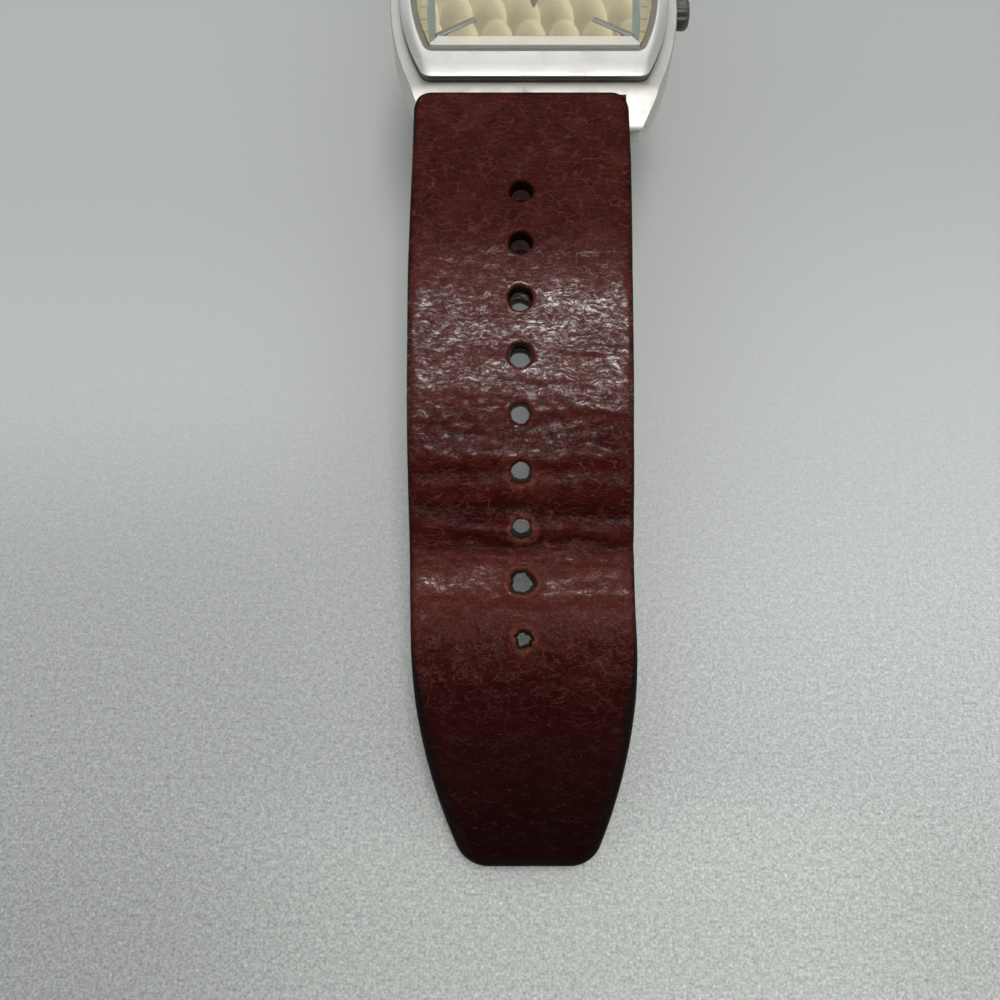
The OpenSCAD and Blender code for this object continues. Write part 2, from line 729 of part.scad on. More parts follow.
// Cuts that leave a lining end as narrow as the lug gap
notch_to = lug_end + 0.6;
module notch(x) {
    for (side = [-1, 1]) translate([side > 0 ? x : -x - 10, 0, bar_z - 8])
        cube([10, notch_to, 16]);
}
tab_half = lug_gap / 2 - 0.3;

module strap_long_lining() {
    color(lining_red) mirror([0, 1, 0]) difference() {
        union() {
            translate([-strap_creep, 0, 0])
                across(lining_band(long_run, bar_s, long_len, bar_s, 400),
                       -strap_w / 2, strap_w / 2);
            rod(-tab_half, tab_half, loop_r, bar_y, bar_z);
        }
        translate([-strap_creep, 0, 0]) long_cuts();
        notch(tab_half);
        rod(-20, 20, bar_r + run, bar_y, bar_z);
    }
}

// Short half, with the slot for the buckle's tongue
slot_w = 3.2;
slot_l = 9;
module tongue_slot() {
    on_run(short_run, short_len) {
        translate([-slot_w / 2, -slot_l, -6]) cube([slot_w, 16, 12]);
        translate([0, -slot_l, -6]) cylinder(h = 12, r = slot_w / 2);
    }
}
module strap_short_top() {
    color(leather) difference() {
        across(band(short_run, end_gap, short_len, 0, top_t), -strap_w / 2, strap_w / 2);
        end_corners();
        skiving();
        tongue_slot();
    }
}
module strap_short_lining() {
    color(lining_red) difference() {
        union() {
            across(lining_band(short_run, bar_s, short_len, bar_s, short_len),
                   -strap_w / 2, strap_w / 2);
            rod(-tab_half, tab_half, loop_r, bar_y, bar_z);
            rod(-strap_w / 2, strap_w / 2, loop_r, buckle_bar[0], buckle_bar[1]);
        }
        notch(tab_half);
        tongue_slot();
        rod(-20, 20, bar_r + run, bar_y, bar_z);
        rod(-20, 20, buckle_bar_r + run, buckle_bar[0], buckle_bar[1]);
    }
}

// Keepers: flat leather loops round the short half, with room above it for the strap end
keeper_t = 1.1;
keeper_w = 6.5;
module keeper(s) {
    w = strap_w / 2 + 0.25;
    low = -lining_t - 0.2;
    high = top_t + keeper_room;
    color(leather) on_run(short_run, s) rotate([90, 0, 0])
        translate([0, 0, -keeper_w / 2]) linear_extrude(keeper_w) difference() {
            polygon(rounded(w + keeper_t, low - keeper_t, high + keeper_t, 1.6));
            polygon(rounded(w, low, high, 0.6));
        }
}
// Rounded rectangle from -w to w and from y0 to y1
function rounded(w, y0, y1, r) = concat(
    arc([w - r, y1 - r], r, 0, 90, 5), arc([r - w, y1 - r], r, 90, 180, 5),
    arc([r - w, y0 + r], r, 180, 270, 5), arc([w - r, y0 + r], r, 270, 360, 5));
fixed_keeper_s = short_len - 17.5;
sliding_keeper_s = short_len - 27.5;
module fixed_keeper() keeper(fixed_keeper_s);
module sliding_keeper() keeper(sliding_keeper_s);

// Buckle: two side arms that turn on the bar, and a round far bar
buckle_bar_r = 0.75;
arm_w = 2.2;
far_bar_r = 1.2;
tongue_r = 0.8;
module in_buckle() {
    translate([0, buckle_bar[0], buckle_bar[1]]) children();
}
far_y = buckle_l - far_bar_r;
far_z = far_bar_r - loop_r;
module buckle_frame() {
    arm = concat(arc([0, 0], 1.5, 90, 250, 8),
                 arc([far_y, far_z], far_bar_r, -90, 90, 8));
    outer = buckle_gap / 2 + arm_w;
    color(steel) in_buckle() difference() {
        union() {
            both_sides() across(arm, buckle_gap / 2, outer);
            rod(-outer + 0.2, outer - 0.2, far_bar_r, far_y, far_z);
            rod(-outer + 0.4, outer - 0.4, buckle_bar_r);
        }
        // Dip in the far bar, in which the tongue rests
        rod(-1.1, 1.1, 5, far_y, far_z + far_bar_r + 4.75);
    }
}
tongue_tip_y = buckle_l + 1.2;
module buckle_tongue() {
    rest_z = far_z + far_bar_r - 0.25 + run;
    tilt = atan2(rest_z + tongue_r - 0, far_y);
    color(steel) in_buckle() difference() {
        union() {
            rotate([tilt, 0, 0]) {
                rotate([-90, 0, 0]) cylinder(h = tongue_tip_y - 1.2, r = tongue_r);
                translate([0, tongue_tip_y - 1.2, 0]) sphere(r = tongue_r);
            }
            rod(-1.3, 1.3, buckle_bar_r + run + 0.65);
        }
        rod(-2, 2, buckle_bar_r + run);
    }
}

case_middle();
bezel();
crystal();
crystal_gasket();
dial_ring();
dial();
hour_markers();
case_back();
case_back_gasket();
case_back_screws();
crown_tube();
movement_holder();
main_plate();
train_bridge();
stator();
coil_core();
coil_winding();
battery();
battery_clamp();
circuit_block();
quartz_can();
movement_screws();
centre_wheel();
minute_hand();
hour_wheel();
hour_hand();
motion_wheel();
third_wheel();
intermediate_wheel();
rotor();
setting_slide();
stem();
crown();
crown_gasket();
spring_bar_6();
bar_spring_6();
bar_pin_6_left();
bar_pin_6_right();
spring_bar_12();
bar_spring_12();
bar_pin_12_left();
bar_pin_12_right();
strap_long_top();
strap_long_lining();
strap_short_top();
strap_short_lining();
fixed_keeper();
sliding_keeper();
buckle_frame();
buckle_tongue();
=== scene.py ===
import functools
import json
import math
import bmesh
import bpy
import numpy as np
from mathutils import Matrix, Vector


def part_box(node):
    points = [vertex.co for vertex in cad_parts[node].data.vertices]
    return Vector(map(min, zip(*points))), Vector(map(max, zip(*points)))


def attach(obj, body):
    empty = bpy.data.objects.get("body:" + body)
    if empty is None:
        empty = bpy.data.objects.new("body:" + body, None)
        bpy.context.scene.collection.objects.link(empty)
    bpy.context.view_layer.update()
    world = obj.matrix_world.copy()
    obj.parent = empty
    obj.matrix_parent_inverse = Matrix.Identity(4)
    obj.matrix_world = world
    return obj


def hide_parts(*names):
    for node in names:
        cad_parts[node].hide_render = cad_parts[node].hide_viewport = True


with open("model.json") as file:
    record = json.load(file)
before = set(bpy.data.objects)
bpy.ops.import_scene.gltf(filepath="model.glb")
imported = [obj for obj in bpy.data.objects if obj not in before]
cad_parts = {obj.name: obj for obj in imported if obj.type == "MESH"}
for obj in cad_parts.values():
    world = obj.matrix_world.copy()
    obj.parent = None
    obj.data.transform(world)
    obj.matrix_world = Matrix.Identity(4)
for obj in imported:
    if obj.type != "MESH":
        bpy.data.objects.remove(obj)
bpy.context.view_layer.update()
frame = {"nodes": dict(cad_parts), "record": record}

# A barrel-shaped wristwatch standing as an arch on its two leather strap halves.
# Sizes in the dictionaries are millimetres and degrees; meshes are made in metres.

mm = 0.001


def centreOf(node):
    # Middle of a CAD node's box, in millimetres: the mean of its two corners
    low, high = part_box(node)
    return (np.array(low) + np.array(high)) / 2 / mm


barHeight = centreOf("spring_bar_6")[2]
barReach = centreOf("spring_bar_12")[1]
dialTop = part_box("dial")[1][2] / mm

view = {
    "place": (-4.3, -110.0, 133.5),
    "tilt": 22.0,              # degrees from straight down, towards 12 o'clock
    "lens": 37.44,
    "sensor": 36.0,
}

lamps = {
    # A broad soft light over the strap: its reflection makes the glare on the leather's crest
    "overhead": {"place": (34, -120, 620), "aim": (34, -120, 0), "size": (130, 260),
                 "power": 2.0, "colour": (1.0, 0.985, 0.965)},
}

surround = {
    "low": 0.22,               # plain light from the horizon and from straight above
    "high": 0.80,
    "dark": 0.09,              # what metal, glass and leather meet in most directions
    "wall": 1.50,              # the bright wall behind 12 o'clock
    "side": 0.10,
    "flank": 0.9,              # both sides, towards the camera
}

floorLook = {
    "size": 900.0,
    # The darker lower tone is painted shade towards the camera
    "upper": (0.410, 0.425, 0.410),    # colours as rendered light, linear
    "lower": (0.300, 0.312, 0.296),
    "rightMiddle": 1.22,
    "rightLower": 1.38,
    "speckle": 1.25,
    # Bands along y in metres: from, to, value before, value after; painted paler light and the
    # strap's shadow on the left, paler light in the middle
    "leftLightAndShadowBands": [(0.0, -0.035, 0.05, 0.12), (-0.037, -0.073, 0.0, -0.27),
                  (-0.078, -0.102, 0.0, 0.10)],
    "middleLightBand": (-0.09, -0.104, 0.0, 0.13),
}

strap = {
    "width": 26.2,
    "topThickness": 1.7,
    "loopRadius": 2.0,         # of the leather turned round a bar
    "runGap": 0.1,
    "headEdge": 16.1,          # y of the strap's end beside the case
    "headGap": 0.15,
    "headCorner": 2.2,
    "firstSlope": 2.0,
    "longRun": [[12, 5.8], [24, 19.4], [18, 33.3], [5, 16.8], [6, 10.8], [10, 32.3], [19.3, 32.3]],
    "longLength": 94.3,
    "creep": 1.4,              # the long half has crept towards 9 o'clock
    "shortArcs": [[12, 2], [26, 31.2]],
    "tipLength": 27.5,
    "tipArc": 70.0,
    "tipCorner": 4.0,
    "edgeRound": 0.7,
    "cell": 0.3,
}

holes = {
    "first": 14.0,
    "pitch": 6.6,
    "half": 3.0,               # half side of the grid square round a hole
    "radius": [1.15, 1.15, 1.18, 1.18, 1.05, 1.05, 1.02, 1.12, 0.74],
    "flare": [0.22, 0.22, 0.22, 0.20, 0.12, 0.12, 0.14, 0.30, 0.24],
    "lip": [0.02, 0.02, 0.03, 0.04, 0.05, 0.10, 0.12, 0.16, 0.12],
}


def newMesh(name, places, faces, smooth=True, recalculate=True):
    # Puts arrays of points (millimetres) and of quads or triangles into one mesh
    mesh = bpy.data.meshes.new(name)
    bySize = [np.concatenate([f for f in faces if f.shape[1] == size]
                             or [np.zeros((0, size), int)]) for size in (4, 3)]
    used = np.unique(np.concatenate([f.ravel() for f in bySize]))
    renumber = np.zeros(len(places), int)
    renumber[used] = np.arange(len(used))
    loops = np.concatenate([renumber[f].ravel() for f in bySize]).astype(np.int32)
    sizes = np.repeat([4, 3], [len(f) for f in bySize])
    mesh.vertices.add(len(used))
    mesh.vertices.foreach_set("co", (places[used] * mm).astype(np.float32).ravel())
    mesh.loops.add(len(loops))
    mesh.loops.foreach_set("vertex_index", loops)
    mesh.polygons.add(len(sizes))
    mesh.polygons.foreach_set("loop_start", (np.cumsum(sizes) - sizes).astype(np.int32))
    mesh.update(calc_edges=True)
    mesh.validate()
    if recalculate:
        reshape(mesh, lambda shell: bmesh.ops.recalc_face_normals(shell, faces=shell.faces))
    mesh.polygons.foreach_set("use_smooth", np.full(len(mesh.polygons), smooth))
    return mesh, used


def reshape(mesh, *steps):
    # Runs editing steps on a mesh
    shell = bmesh.new()
    shell.from_mesh(mesh)
    for step in steps:
        step(shell)
    shell.to_mesh(mesh)
    shell.free()


def addValues(mesh, name, values):
    # One number for each point of the mesh, for the materials to read
    layer = mesh.attributes.new(name, "FLOAT", "POINT")
    layer.data.foreach_set("value", np.asarray(values, np.float32))


def addPlaces(mesh, name, places):
    # Three numbers for each point of the mesh
    layer = mesh.attributes.new(name, "FLOAT_VECTOR", "POINT")
    layer.data.foreach_set("vector", np.asarray(places, np.float32).ravel())


def addPiece(name, mesh, material, body, replaces=()):
    # Makes the object, hangs it on the body that carries it, and hides the CAD nodes it stands for
    piece = bpy.data.objects.new(name, mesh)
    bpy.context.scene.collection.objects.link(piece)
    mesh.materials.append(material)
    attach(piece, body)
    if replaces:
        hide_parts(*replaces)
    return piece


def smoothStep(x):
    # 0 below 0, 1 above 1, and x squared times (3 - 2x) between them
    x = np.clip(x, 0, 1)
    return x * x * (3 - 2 * x)


def bell(x, width):
    # A bell curve: e to the power of minus (x / width) squared
    return np.exp(-(x / width) ** 2)


# Shader building: helpers that are given no tree find it through their sockets

def addNode(tree, kind, inputs=None, **settings):
    # A node with its settings; an input is a fixed value or another node's output
    node = tree.nodes.new(kind)
    for key, value in settings.items():
        setattr(node, key, value)
    for key, value in (inputs or {}).items():
        if isinstance(value, bpy.types.NodeSocket):
            tree.links.new(value, node.inputs[key])
        else:
            node.inputs[key].default_value = value
    return node


def nodeAfter(kind, inputs, **settings):
    # The outputs of a new node, in the tree of the first input that is a socket
    sockets = [value for value in inputs.values() if isinstance(value, bpy.types.NodeSocket)]
    return addNode(sockets[0].id_data, kind, inputs, **settings).outputs


def calc(operation, *values, clamp=False):
    # One Math node; clamp keeps its result between 0 and 1
    return nodeAfter("ShaderNodeMath", dict(enumerate(values)), operation=operation,
                     use_clamp=clamp)[0]


def plus(*values):
    # The sum of the values, added up from the left
    return functools.reduce(lambda total, value: calc("ADD", total, value), values)


def times(*values):
    # The product of the values, multiplied from the left
    return functools.reduce(lambda total, value: calc("MULTIPLY", total, value), values)


def vectorCalc(operation, first, second):
    # One Vector Math node with two inputs; the second may be a plain factor
    key = "Scale" if operation == "SCALE" else 1
    outputs = nodeAfter("ShaderNodeVectorMath", {0: first, key: second}, operation=operation)
    return outputs["Value" if operation == "DOT_PRODUCT" else 0]


def remap(value, low, high, toLow=0.0, toHigh=1.0):
    # The value's way from low to high, as a smooth way from toLow to toHigh
    return nodeAfter("ShaderNodeMapRange", {0: value, 1: low, 2: high, 3: toLow, 4: toHigh},
                     interpolation_type="SMOOTHSTEP")[0]


def blendColours(amount, first, second):
    # A mix of two colours: the amount leads from the first to the second
    inputs = {key: (*value, 1.0) if isinstance(value, tuple) else value
              for key, value in ((0, amount), (6, first), (7, second))}
    return nodeAfter("ShaderNodeMix", inputs, data_type="RGBA")[2]


def stretched(vector, scale, turn=(0, 0, 0)):
    # The coordinates times a scale along each axis, then turned
    return nodeAfter("ShaderNodeMapping", {"Vector": vector, "Scale": scale,
                                           "Rotation": turn})[0]


def noise(vector, scale, detail=3.0, roughness=0.55):
    # A soft random field, mostly between 0.3 and 0.7
    return nodeAfter("ShaderNodeTexNoise", {"Vector": vector, "Scale": scale, "Detail": detail,
                                            "Roughness": roughness})[0]


def cellEdges(vector):
    # Distance to the nearest border between cells: 0 on the border
    return nodeAfter("ShaderNodeTexVoronoi", {"Vector": vector, "Scale": 1.0},
                     feature="DISTANCE_TO_EDGE")["Distance"]


def attribute(tree, name, output="Fac"):
    # A value that the mesh carries for each of its points
    return addNode(tree, "ShaderNodeAttribute", attribute_name=name).outputs[output]


def objectPlace(tree):
    # Coordinates in the piece's own space, in metres
    return addNode(tree, "ShaderNodeTexCoord").outputs["Object"]


def darker(colour, share):
    # A colour times a share
    return tuple(share * c for c in colour)


def newMaterial(name, colour, roughness=0.5, metallic=0.0):
    # A Principled material whose constant values stand on its own sockets
    material = bpy.data.materials.new(name)
    material.use_nodes = True
    tree = material.node_tree
    shader = tree.nodes["Principled BSDF"]
    shader.inputs["Base Color"].default_value = (*colour, 1.0)
    shader.inputs["Roughness"].default_value = roughness
    shader.inputs["Metallic"].default_value = metallic
    return material, tree, shader


def bump(tree, shader, height, distance, strength=1.0):
    # Tilts the shading by the slope of the height, which is in metres times the distance
    node = addNode(tree, "ShaderNodeBump", {"Height": height, "Distance": distance,
                                            "Strength": strength})
    tree.links.new(node.outputs[0], shader.inputs["Normal"])


def newGroup(name, inputs, outputs):
    # A shader node group; each socket is a value, a vector or a colour
    group = bpy.data.node_groups.new(name, "ShaderNodeTree")
    kinds = {"value": "NodeSocketFloat", "vector": "NodeSocketVector",
             "colour": "NodeSocketColor"}
    for way, sockets in (("INPUT", inputs), ("OUTPUT", outputs)):
        for key, kind in sockets.items():
            group.interface.new_socket(key, in_out=way, socket_type=kinds[kind])
    start = group.nodes.new("NodeGroupInput")
    return group, start.outputs, group.nodes.new("NodeGroupOutput").inputs


def placeGroup(tree, group, **inputs):
    # The outputs of a node that runs the group on the given inputs
    return addNode(tree, "ShaderNodeGroup", inputs, node_tree=group).outputs


# Camera, lamps and floor

def makeCamera():
    # The photograph's camera: its place, tilt and lens are in the dictionary above
    data = bpy.data.cameras.new("photoView")
    data.lens = view["lens"]
    data.sensor_width = view["sensor"]
    data.sensor_fit = "HORIZONTAL"
    data.clip_start, data.clip_end = 0.005, 10.0
    camera = bpy.data.objects.new("photoView", data)
    camera.location = [v * mm for v in view["place"]]
    camera.rotation_euler = (math.radians(view["tilt"]), 0, 0)
    bpy.context.scene.collection.objects.link(camera)
    bpy.context.scene.camera = camera


def makeLamps():
    # Area lamps from the dictionary, and a world in which light depends on the heading
    for name, lamp in lamps.items():
        data = bpy.data.lights.new(name, "AREA")
        data.shape = "RECTANGLE"
        data.size, data.size_y = (v * mm for v in lamp["size"])
        data.energy = lamp["power"]
        data.color = lamp["colour"]
        item = bpy.data.objects.new(name, data)
        place, aim = Vector(lamp["place"]) * mm, Vector(lamp["aim"]) * mm
        item.location = place
        item.rotation_euler = (aim - place).to_track_quat("-Z", "Y").to_euler()
        bpy.context.scene.collection.objects.link(item)
    world = bpy.data.worlds.new("studio")
    bpy.context.scene.world = world
    world.use_nodes = True
    tree = world.node_tree
    tree.nodes.clear()
    rays = tree.nodes.new("ShaderNodeLightPath").outputs
    # What the camera, metal and glass meet is a room; the rest of the light is plain
    shown = calc("MAXIMUM", rays["Is Camera Ray"],
                 calc("MAXIMUM", rays["Is Glossy Ray"], rays["Is Transmission Ray"]))
    heading = nodeAfter("ShaderNodeSeparateXYZ", {0: addNode(
        tree, "ShaderNodeTexCoord").outputs["Generated"]})
    aside = calc("ABSOLUTE", heading["X"])
    wall = times(remap(heading["Y"], 0.52, 0.68, 0.0, surround["wall"]),
                 remap(aside, 0.45, 0.25))
    side = remap(aside, 0.5, 0.9, 0.0, surround["side"])
    flank = times(remap(aside, 0.6, 0.85, 0.0, surround["flank"]),
                  remap(heading["Y"], 0.32, 0.08))
    room = plus(side, flank, wall, surround["dark"])
    plainLight = remap(heading["Z"], 0.05, 0.95, surround["low"], surround["high"])
    strength = plus(times(shown, room), times(calc("SUBTRACT", 1.0, shown), plainLight))
    back = addNode(tree, "ShaderNodeBackground", {"Color": (0.965, 0.985, 1.0, 1.0),
                                                  "Strength": strength})
    tree.links.new(back.outputs[0], tree.nodes.new("ShaderNodeOutputWorld").inputs[0])
    bpy.context.scene.view_settings.view_transform = "Standard"


def makeFloor():
    # Colour = (lower to upper tone) x (1 + right side's gain) x (1 + swells) x (1 + flecks); tone,
    # gain and swells are painted light and shade
    half = floorLook["size"] / 2
    corners = [[-half, -half, 0], [half, -half, 0], [half, half, 0], [-half, half, 0]]
    mesh, _ = newMesh("table", np.array(corners), [np.array([[0, 1, 2, 3]])], smooth=False,
                      recalculate=False)
    material, tree, shader = newMaterial("tableLaminate", (0.5, 0.5, 0.5), 0.62)
    shader.inputs["Specular IOR Level"].default_value = 0.25
    place = objectPlace(tree)
    axes = nodeAfter("ShaderNodeSeparateXYZ", {0: place})
    x, y = axes["X"], axes["Y"]
    colour = blendColours(remap(y, -0.116, -0.066), floorLook["lower"], floorLook["upper"])
    # Painted light: the right side is paler near the camera and as pale as the left far away
    middleGain, lowerGain = floorLook["rightMiddle"], floorLook["rightLower"]
    right = times(remap(y, 0.02, -0.05),
                  plus(remap(y, -0.07, -0.116, 0.0, lowerGain - middleGain), middleGain - 1.0))
    gain = plus(times(remap(x, -0.07, 0.07), right), 1.0)
    # Painted light and shadow: the left side swells and dims again towards the camera, with the
    # strap's shadow in the dim band; the middle is paler below
    paintedSwells = [remap(y, *band) for band in floorLook["leftLightAndShadowBands"]]
    left = times(plus(paintedSwells[1], paintedSwells[2], paintedSwells[0]), remap(x, -0.008, -0.04))
    middle = times(remap(x, -0.05, -0.02), remap(x, 0.055, 0.03),
                   remap(y, *floorLook["middleLightBand"]))
    gain = times(gain, plus(middle, left, 1.0))
    # Fine pale and dark flecks, clearest near the camera's side
    fleck = times(plus(noise(place, 3000.0, 1.0, 0.6), -0.5), 0.8)
    grit = times(plus(noise(place, 1300.0, 2.0, 0.6), -0.5), 0.5)
    spark = remap(noise(place, 2300.0, 0.0), 0.70, 0.80, 0.0, 0.22)
    flecks = times(plus(fleck, grit, spark), remap(y, -0.02, -0.105, 0.06, 1.1))
    gain = times(gain, plus(times(flecks, floorLook["speckle"]), 1.0))
    tree.links.new(vectorCalc("SCALE", colour, gain), shader.inputs["Base Color"])
    table = bpy.data.objects.new("table", mesh)
    bpy.context.scene.collection.objects.link(table)
    mesh.materials.append(material)


makeCamera()
makeLamps()
makeFloor()
print("stage done")


# Strap shapes

startPoint = np.array([strap["headEdge"], barHeight + strap["loopRadius"] + strap["runGap"]])
barAlong = barReach - strap["headEdge"]
farGap = 9.0                   # stands for the distance to a hole where none is near


def shortRun():
    # The short half's arcs, and the straight that brings its loop down to the table
    arcs = strap["shortArcs"]
    end = walkRun(arcs, np.array([arcs[0][0] + arcs[1][0] - 1e-6]))[0][0]
    slope = math.radians(arcs[1][1])
    loop = strap["loopRadius"]
    return arcs + [[(end[1] - loop - loop * math.cos(slope)) / math.sin(slope), arcs[1][1]]]


def walkRun(run, along):
    # Points and slopes at distances along a run of arcs. Within an arc the slope grows evenly,
    # and the chord to a point is its arc length times sin(t) / t, with t half of the turn.
    points, starts, slopes = [startPoint], [0.0], [strap["firstSlope"]]
    for length, slope in run:
        a, b = math.radians(slopes[-1]), math.radians(slope)
        chord = length * float(np.sinc((b - a) / 2 / math.pi))
        middle = (a + b) / 2
        points.append(points[-1] + chord * np.array([math.cos(middle), -math.sin(middle)]))
        starts.append(starts[-1] + length)
        slopes.append(slope)
    points, starts, slopes = np.array(points), np.array(starts), np.radians(slopes)
    part = np.clip(np.searchsorted(starts, along, side="right") - 1, 0, len(run) - 1)
    length = starts[part + 1] - starts[part]
    inside = along - starts[part]
    a = slopes[part]
    b = a + (slopes[part + 1] - a) * np.clip(inside / length, -0.2, 1.2)
    chord = inside * np.sinc((b - a) / 2 / math.pi)
    place = points[part] + chord[:, None] * np.stack([np.cos((a + b) / 2),
                                                      -np.sin((a + b) / 2)], 1)
    return place, b


def onRun(run, across, along, lift, long):
    # Carries flat strap places (across, along) to the run, lifted square to the leather
    place, slope = walkRun(run, along)
    y = place[:, 0] + lift * np.sin(slope)
    z = place[:, 1] + lift * np.cos(slope)
    if long:
        return np.stack([across - strap["creep"] + drift(along), -y, z], 1)
    return np.stack([across, y, z], 1)


def drift(along):
    # The worn strap leans a little: its middle line wanders from side to side
    return np.interp(along, [0, 9, 24, 42, 62, 72, 94], [-0.3, -0.3, -0.55, -0.55, -0.28,
                                                         0.0, 0.55])


def coonsPatch(top, bottom, left, right, share):
    # A grid between four edge curves: the blend of left and right, plus the blend of top and
    # bottom, less the blend of the four corners
    u = share[None, :, None]
    v = np.linspace(0, 1, len(left))[:, None, None]
    sides = (1 - u) * left[:, None] + u * right[:, None]
    ends = (1 - v) * top[None] + v * bottom[None]
    corners = ((1 - v) * ((1 - u) * top[0] + u * top[-1])
               + v * ((1 - u) * bottom[0] + u * bottom[-1]))
    return sides + ends - corners


def strapColumns(half, wide, cell):
    # Positions across: even cells in the middle as far as half, even cells beside them; and how
    # many lie on each side
    middle = np.linspace(-half, half, 2 * int(round(half / cell)) + 1)
    side = np.linspace(half, wide, int(round((wide - half) / cell)) + 1)[1:]
    return np.concatenate([-side[::-1], middle, side]), len(side)


def headPatch(columns, inset, until, cell):
    # The end beside the case, with round corners: arcs of the corner radius less the inset
    wide = columns[-1]
    radius = strap["headCorner"] - inset
    begin = strap["headGap"] + inset
    eighth = radius * math.cos(math.pi / 4)
    reach = wide - radius + eighth
    x = columns / wide * reach
    beyond = np.maximum(np.abs(x) - (wide - radius), 0)
    top = np.stack([x, begin + radius - np.sqrt(radius ** 2 - beyond ** 2)], 1)
    s = np.linspace(begin + radius - eighth, until, int(round((until - begin) / cell)) + 1)
    short = np.maximum(begin + radius - s, 0)
    edge = wide - radius + np.sqrt(radius ** 2 - short ** 2)
    left, right = np.stack([-edge, s], 1), np.stack([edge, s], 1)
    bottom = np.stack([columns, np.full_like(columns, until)], 1)
    return coonsPatch(top, bottom, left, right, (columns + wide) / (2 * wide))


def tipArcs():
    # The tip's big and small radius, the x of their centres, and the sine of the angle at which
    # the arcs meet without a kink
    big, small, length = strap["tipArc"], strap["tipCorner"], strap["tipLength"]
    bigX = strap["width"] / 2 - big
    smallX = bigX + math.sqrt((big - small) ** 2 - (length - small) ** 2)
    return big, small, bigX, smallX, (length - small) / (big - small)


def sideAt(tip, inset):
    # Half width of the long half at a distance from its tip: straight sides, then the big arc,
    # then the small arc, which runs into the straight end
    big, small, bigX, smallX, turn = tipArcs()
    length = strap["tipLength"]
    arc = bigX + np.sqrt((big - inset) ** 2 - np.clip(length - tip, 0, length) ** 2)
    corner = smallX + np.sqrt(np.maximum((small - inset) ** 2 - (small - tip) ** 2, 0))
    return np.where(tip > small - (small - inset) * turn, arc, corner)


def narrowed(columns, side):
    # Columns beside the holes drawn together, so that the outermost lies at the given half width
    half, wide = holes["half"], columns[-1]
    size = np.abs(columns)
    return np.sign(columns) * np.where(size > half, half + (size - half) * (side - half)
                                       / (wide - half), size)


def tipPatch(columns, inset, since, cell):
    # The tip, with its corners halfway round the small arcs
    wide = columns[-1]
    _, small, _, smallX, turn = tipArcs()
    angle = 0.5 * (math.pi / 2 + math.asin(turn))
    radius = small - inset
    splitX, splitT = smallX + radius * math.cos(angle), small - radius * math.sin(angle)
    t = np.linspace(strap["longLength"] - since, splitT,
                    int(round((strap["longLength"] - since - inset) / cell)) + 1)
    edge = sideAt(t, inset)
    s = strap["longLength"] - t
    left, right = np.stack([-edge, s], 1), np.stack([edge, s], 1)
    x = columns / wide * splitX
    beyond = np.maximum(np.abs(x) - smallX, 0)
    end = small - np.sqrt(np.maximum(radius ** 2 - beyond ** 2, 0))
    bottom = np.stack([x, strap["longLength"] - end], 1)
    first = narrowed(columns, edge[0])
    top = np.stack([first, np.full_like(columns, since)], 1)
    return coonsPatch(top, bottom, left, right, (first + edge[0]) / (2 * edge[0]))


def gridBorder(index):
    # The outer points of a grid of indices, once round
    return np.concatenate([index[0, :-1], index[:-1, -1], index[-1, :0:-1], index[:0:-1, 0]])


def flatSheet(grid, inset, openings, border=None, keep=None):
    # Joins the grid's cells, swaps square blocks of cells for rings that close in on round
    # openings, and lays rings outside the grid's border, as far as the inset.
    # openings: (first row, first column, cells, centre, radius)
    rows, cols = grid.shape[:2]
    index = np.arange(rows * cols).reshape(rows, cols)
    places = [grid.reshape(-1, 2)]
    keep = np.ones((rows - 1, cols - 1), bool) if keep is None else keep
    count = rows * cols
    faces, rims = [], []
    rimGap = [np.full(count, farGap)]
    owner = [np.full(count, -1)]
    for number, (r, c, n, centre, radius) in enumerate(openings):
        keep[r:r + n, c:c + n] = False
        square = np.concatenate([index[r, c:c + n], index[r:r + n, c + n],
                                 index[r + n, c + n:c:-1], index[r + n:r:-1, c]])
        start = places[0][square] - centre
        away = np.linalg.norm(start, axis=1, keepdims=True)
        last = square
        for share in (0.22, 0.40, 0.55, 0.67, 0.77, 0.85, 0.91, 0.96, 1.0):
            ring = centre + start * (1 + (radius / away - 1) * share)
            now = np.arange(count, count + len(square))
            places.append(ring)
            rimGap.append(np.linalg.norm(ring - centre, axis=1) - radius)
            owner.append(np.full(len(square), number))
            count += len(square)
            faces.append(np.stack([last, now, np.roll(now, -1), np.roll(last, -1)], 1))
            last = now
        rims.append(last)
    cells = np.stack([index[:-1, :-1], index[1:, :-1], index[1:, 1:], index[:-1, 1:]], -1)
    faces.append(cells[keep])
    border = gridBorder(index) if border is None else border
    line = places[0][border]
    ahead = np.roll(line, -1, 0) - np.roll(line, 1, 0)
    out = np.stack([ahead[:, 1], -ahead[:, 0]], 1)
    out /= np.linalg.norm(out, axis=1, keepdims=True)
    edgeGap = [np.full(count, inset)]
    last = border
    for left in (0.72, 0.50, 0.32, 0.18, 0.08, 0.02, 0.0):
        now = np.arange(count, count + len(border))
        places.append(line + out * inset * (1 - left))
        edgeGap.append(np.full(len(border), inset * left))
        rimGap.append(np.full(len(border), farGap))
        owner.append(np.full(len(border), -1))
        count += len(border)
        faces.append(np.stack([last, np.roll(last, -1), np.roll(now, -1), now], 1))
        last = now
    return {"flat": np.concatenate(places), "faces": faces, "edge": last, "rims": rims,
            "edgeGap": np.concatenate(edgeGap), "rimGap": np.concatenate(rimGap),
            "owner": np.concatenate(owner)}


def roundOff(gap, radius):
    # How far a round edge falls: the radius less the height of a circle of that radius
    near = np.clip(radius - gap, 0, radius)
    return radius - np.sqrt(radius ** 2 - near ** 2)


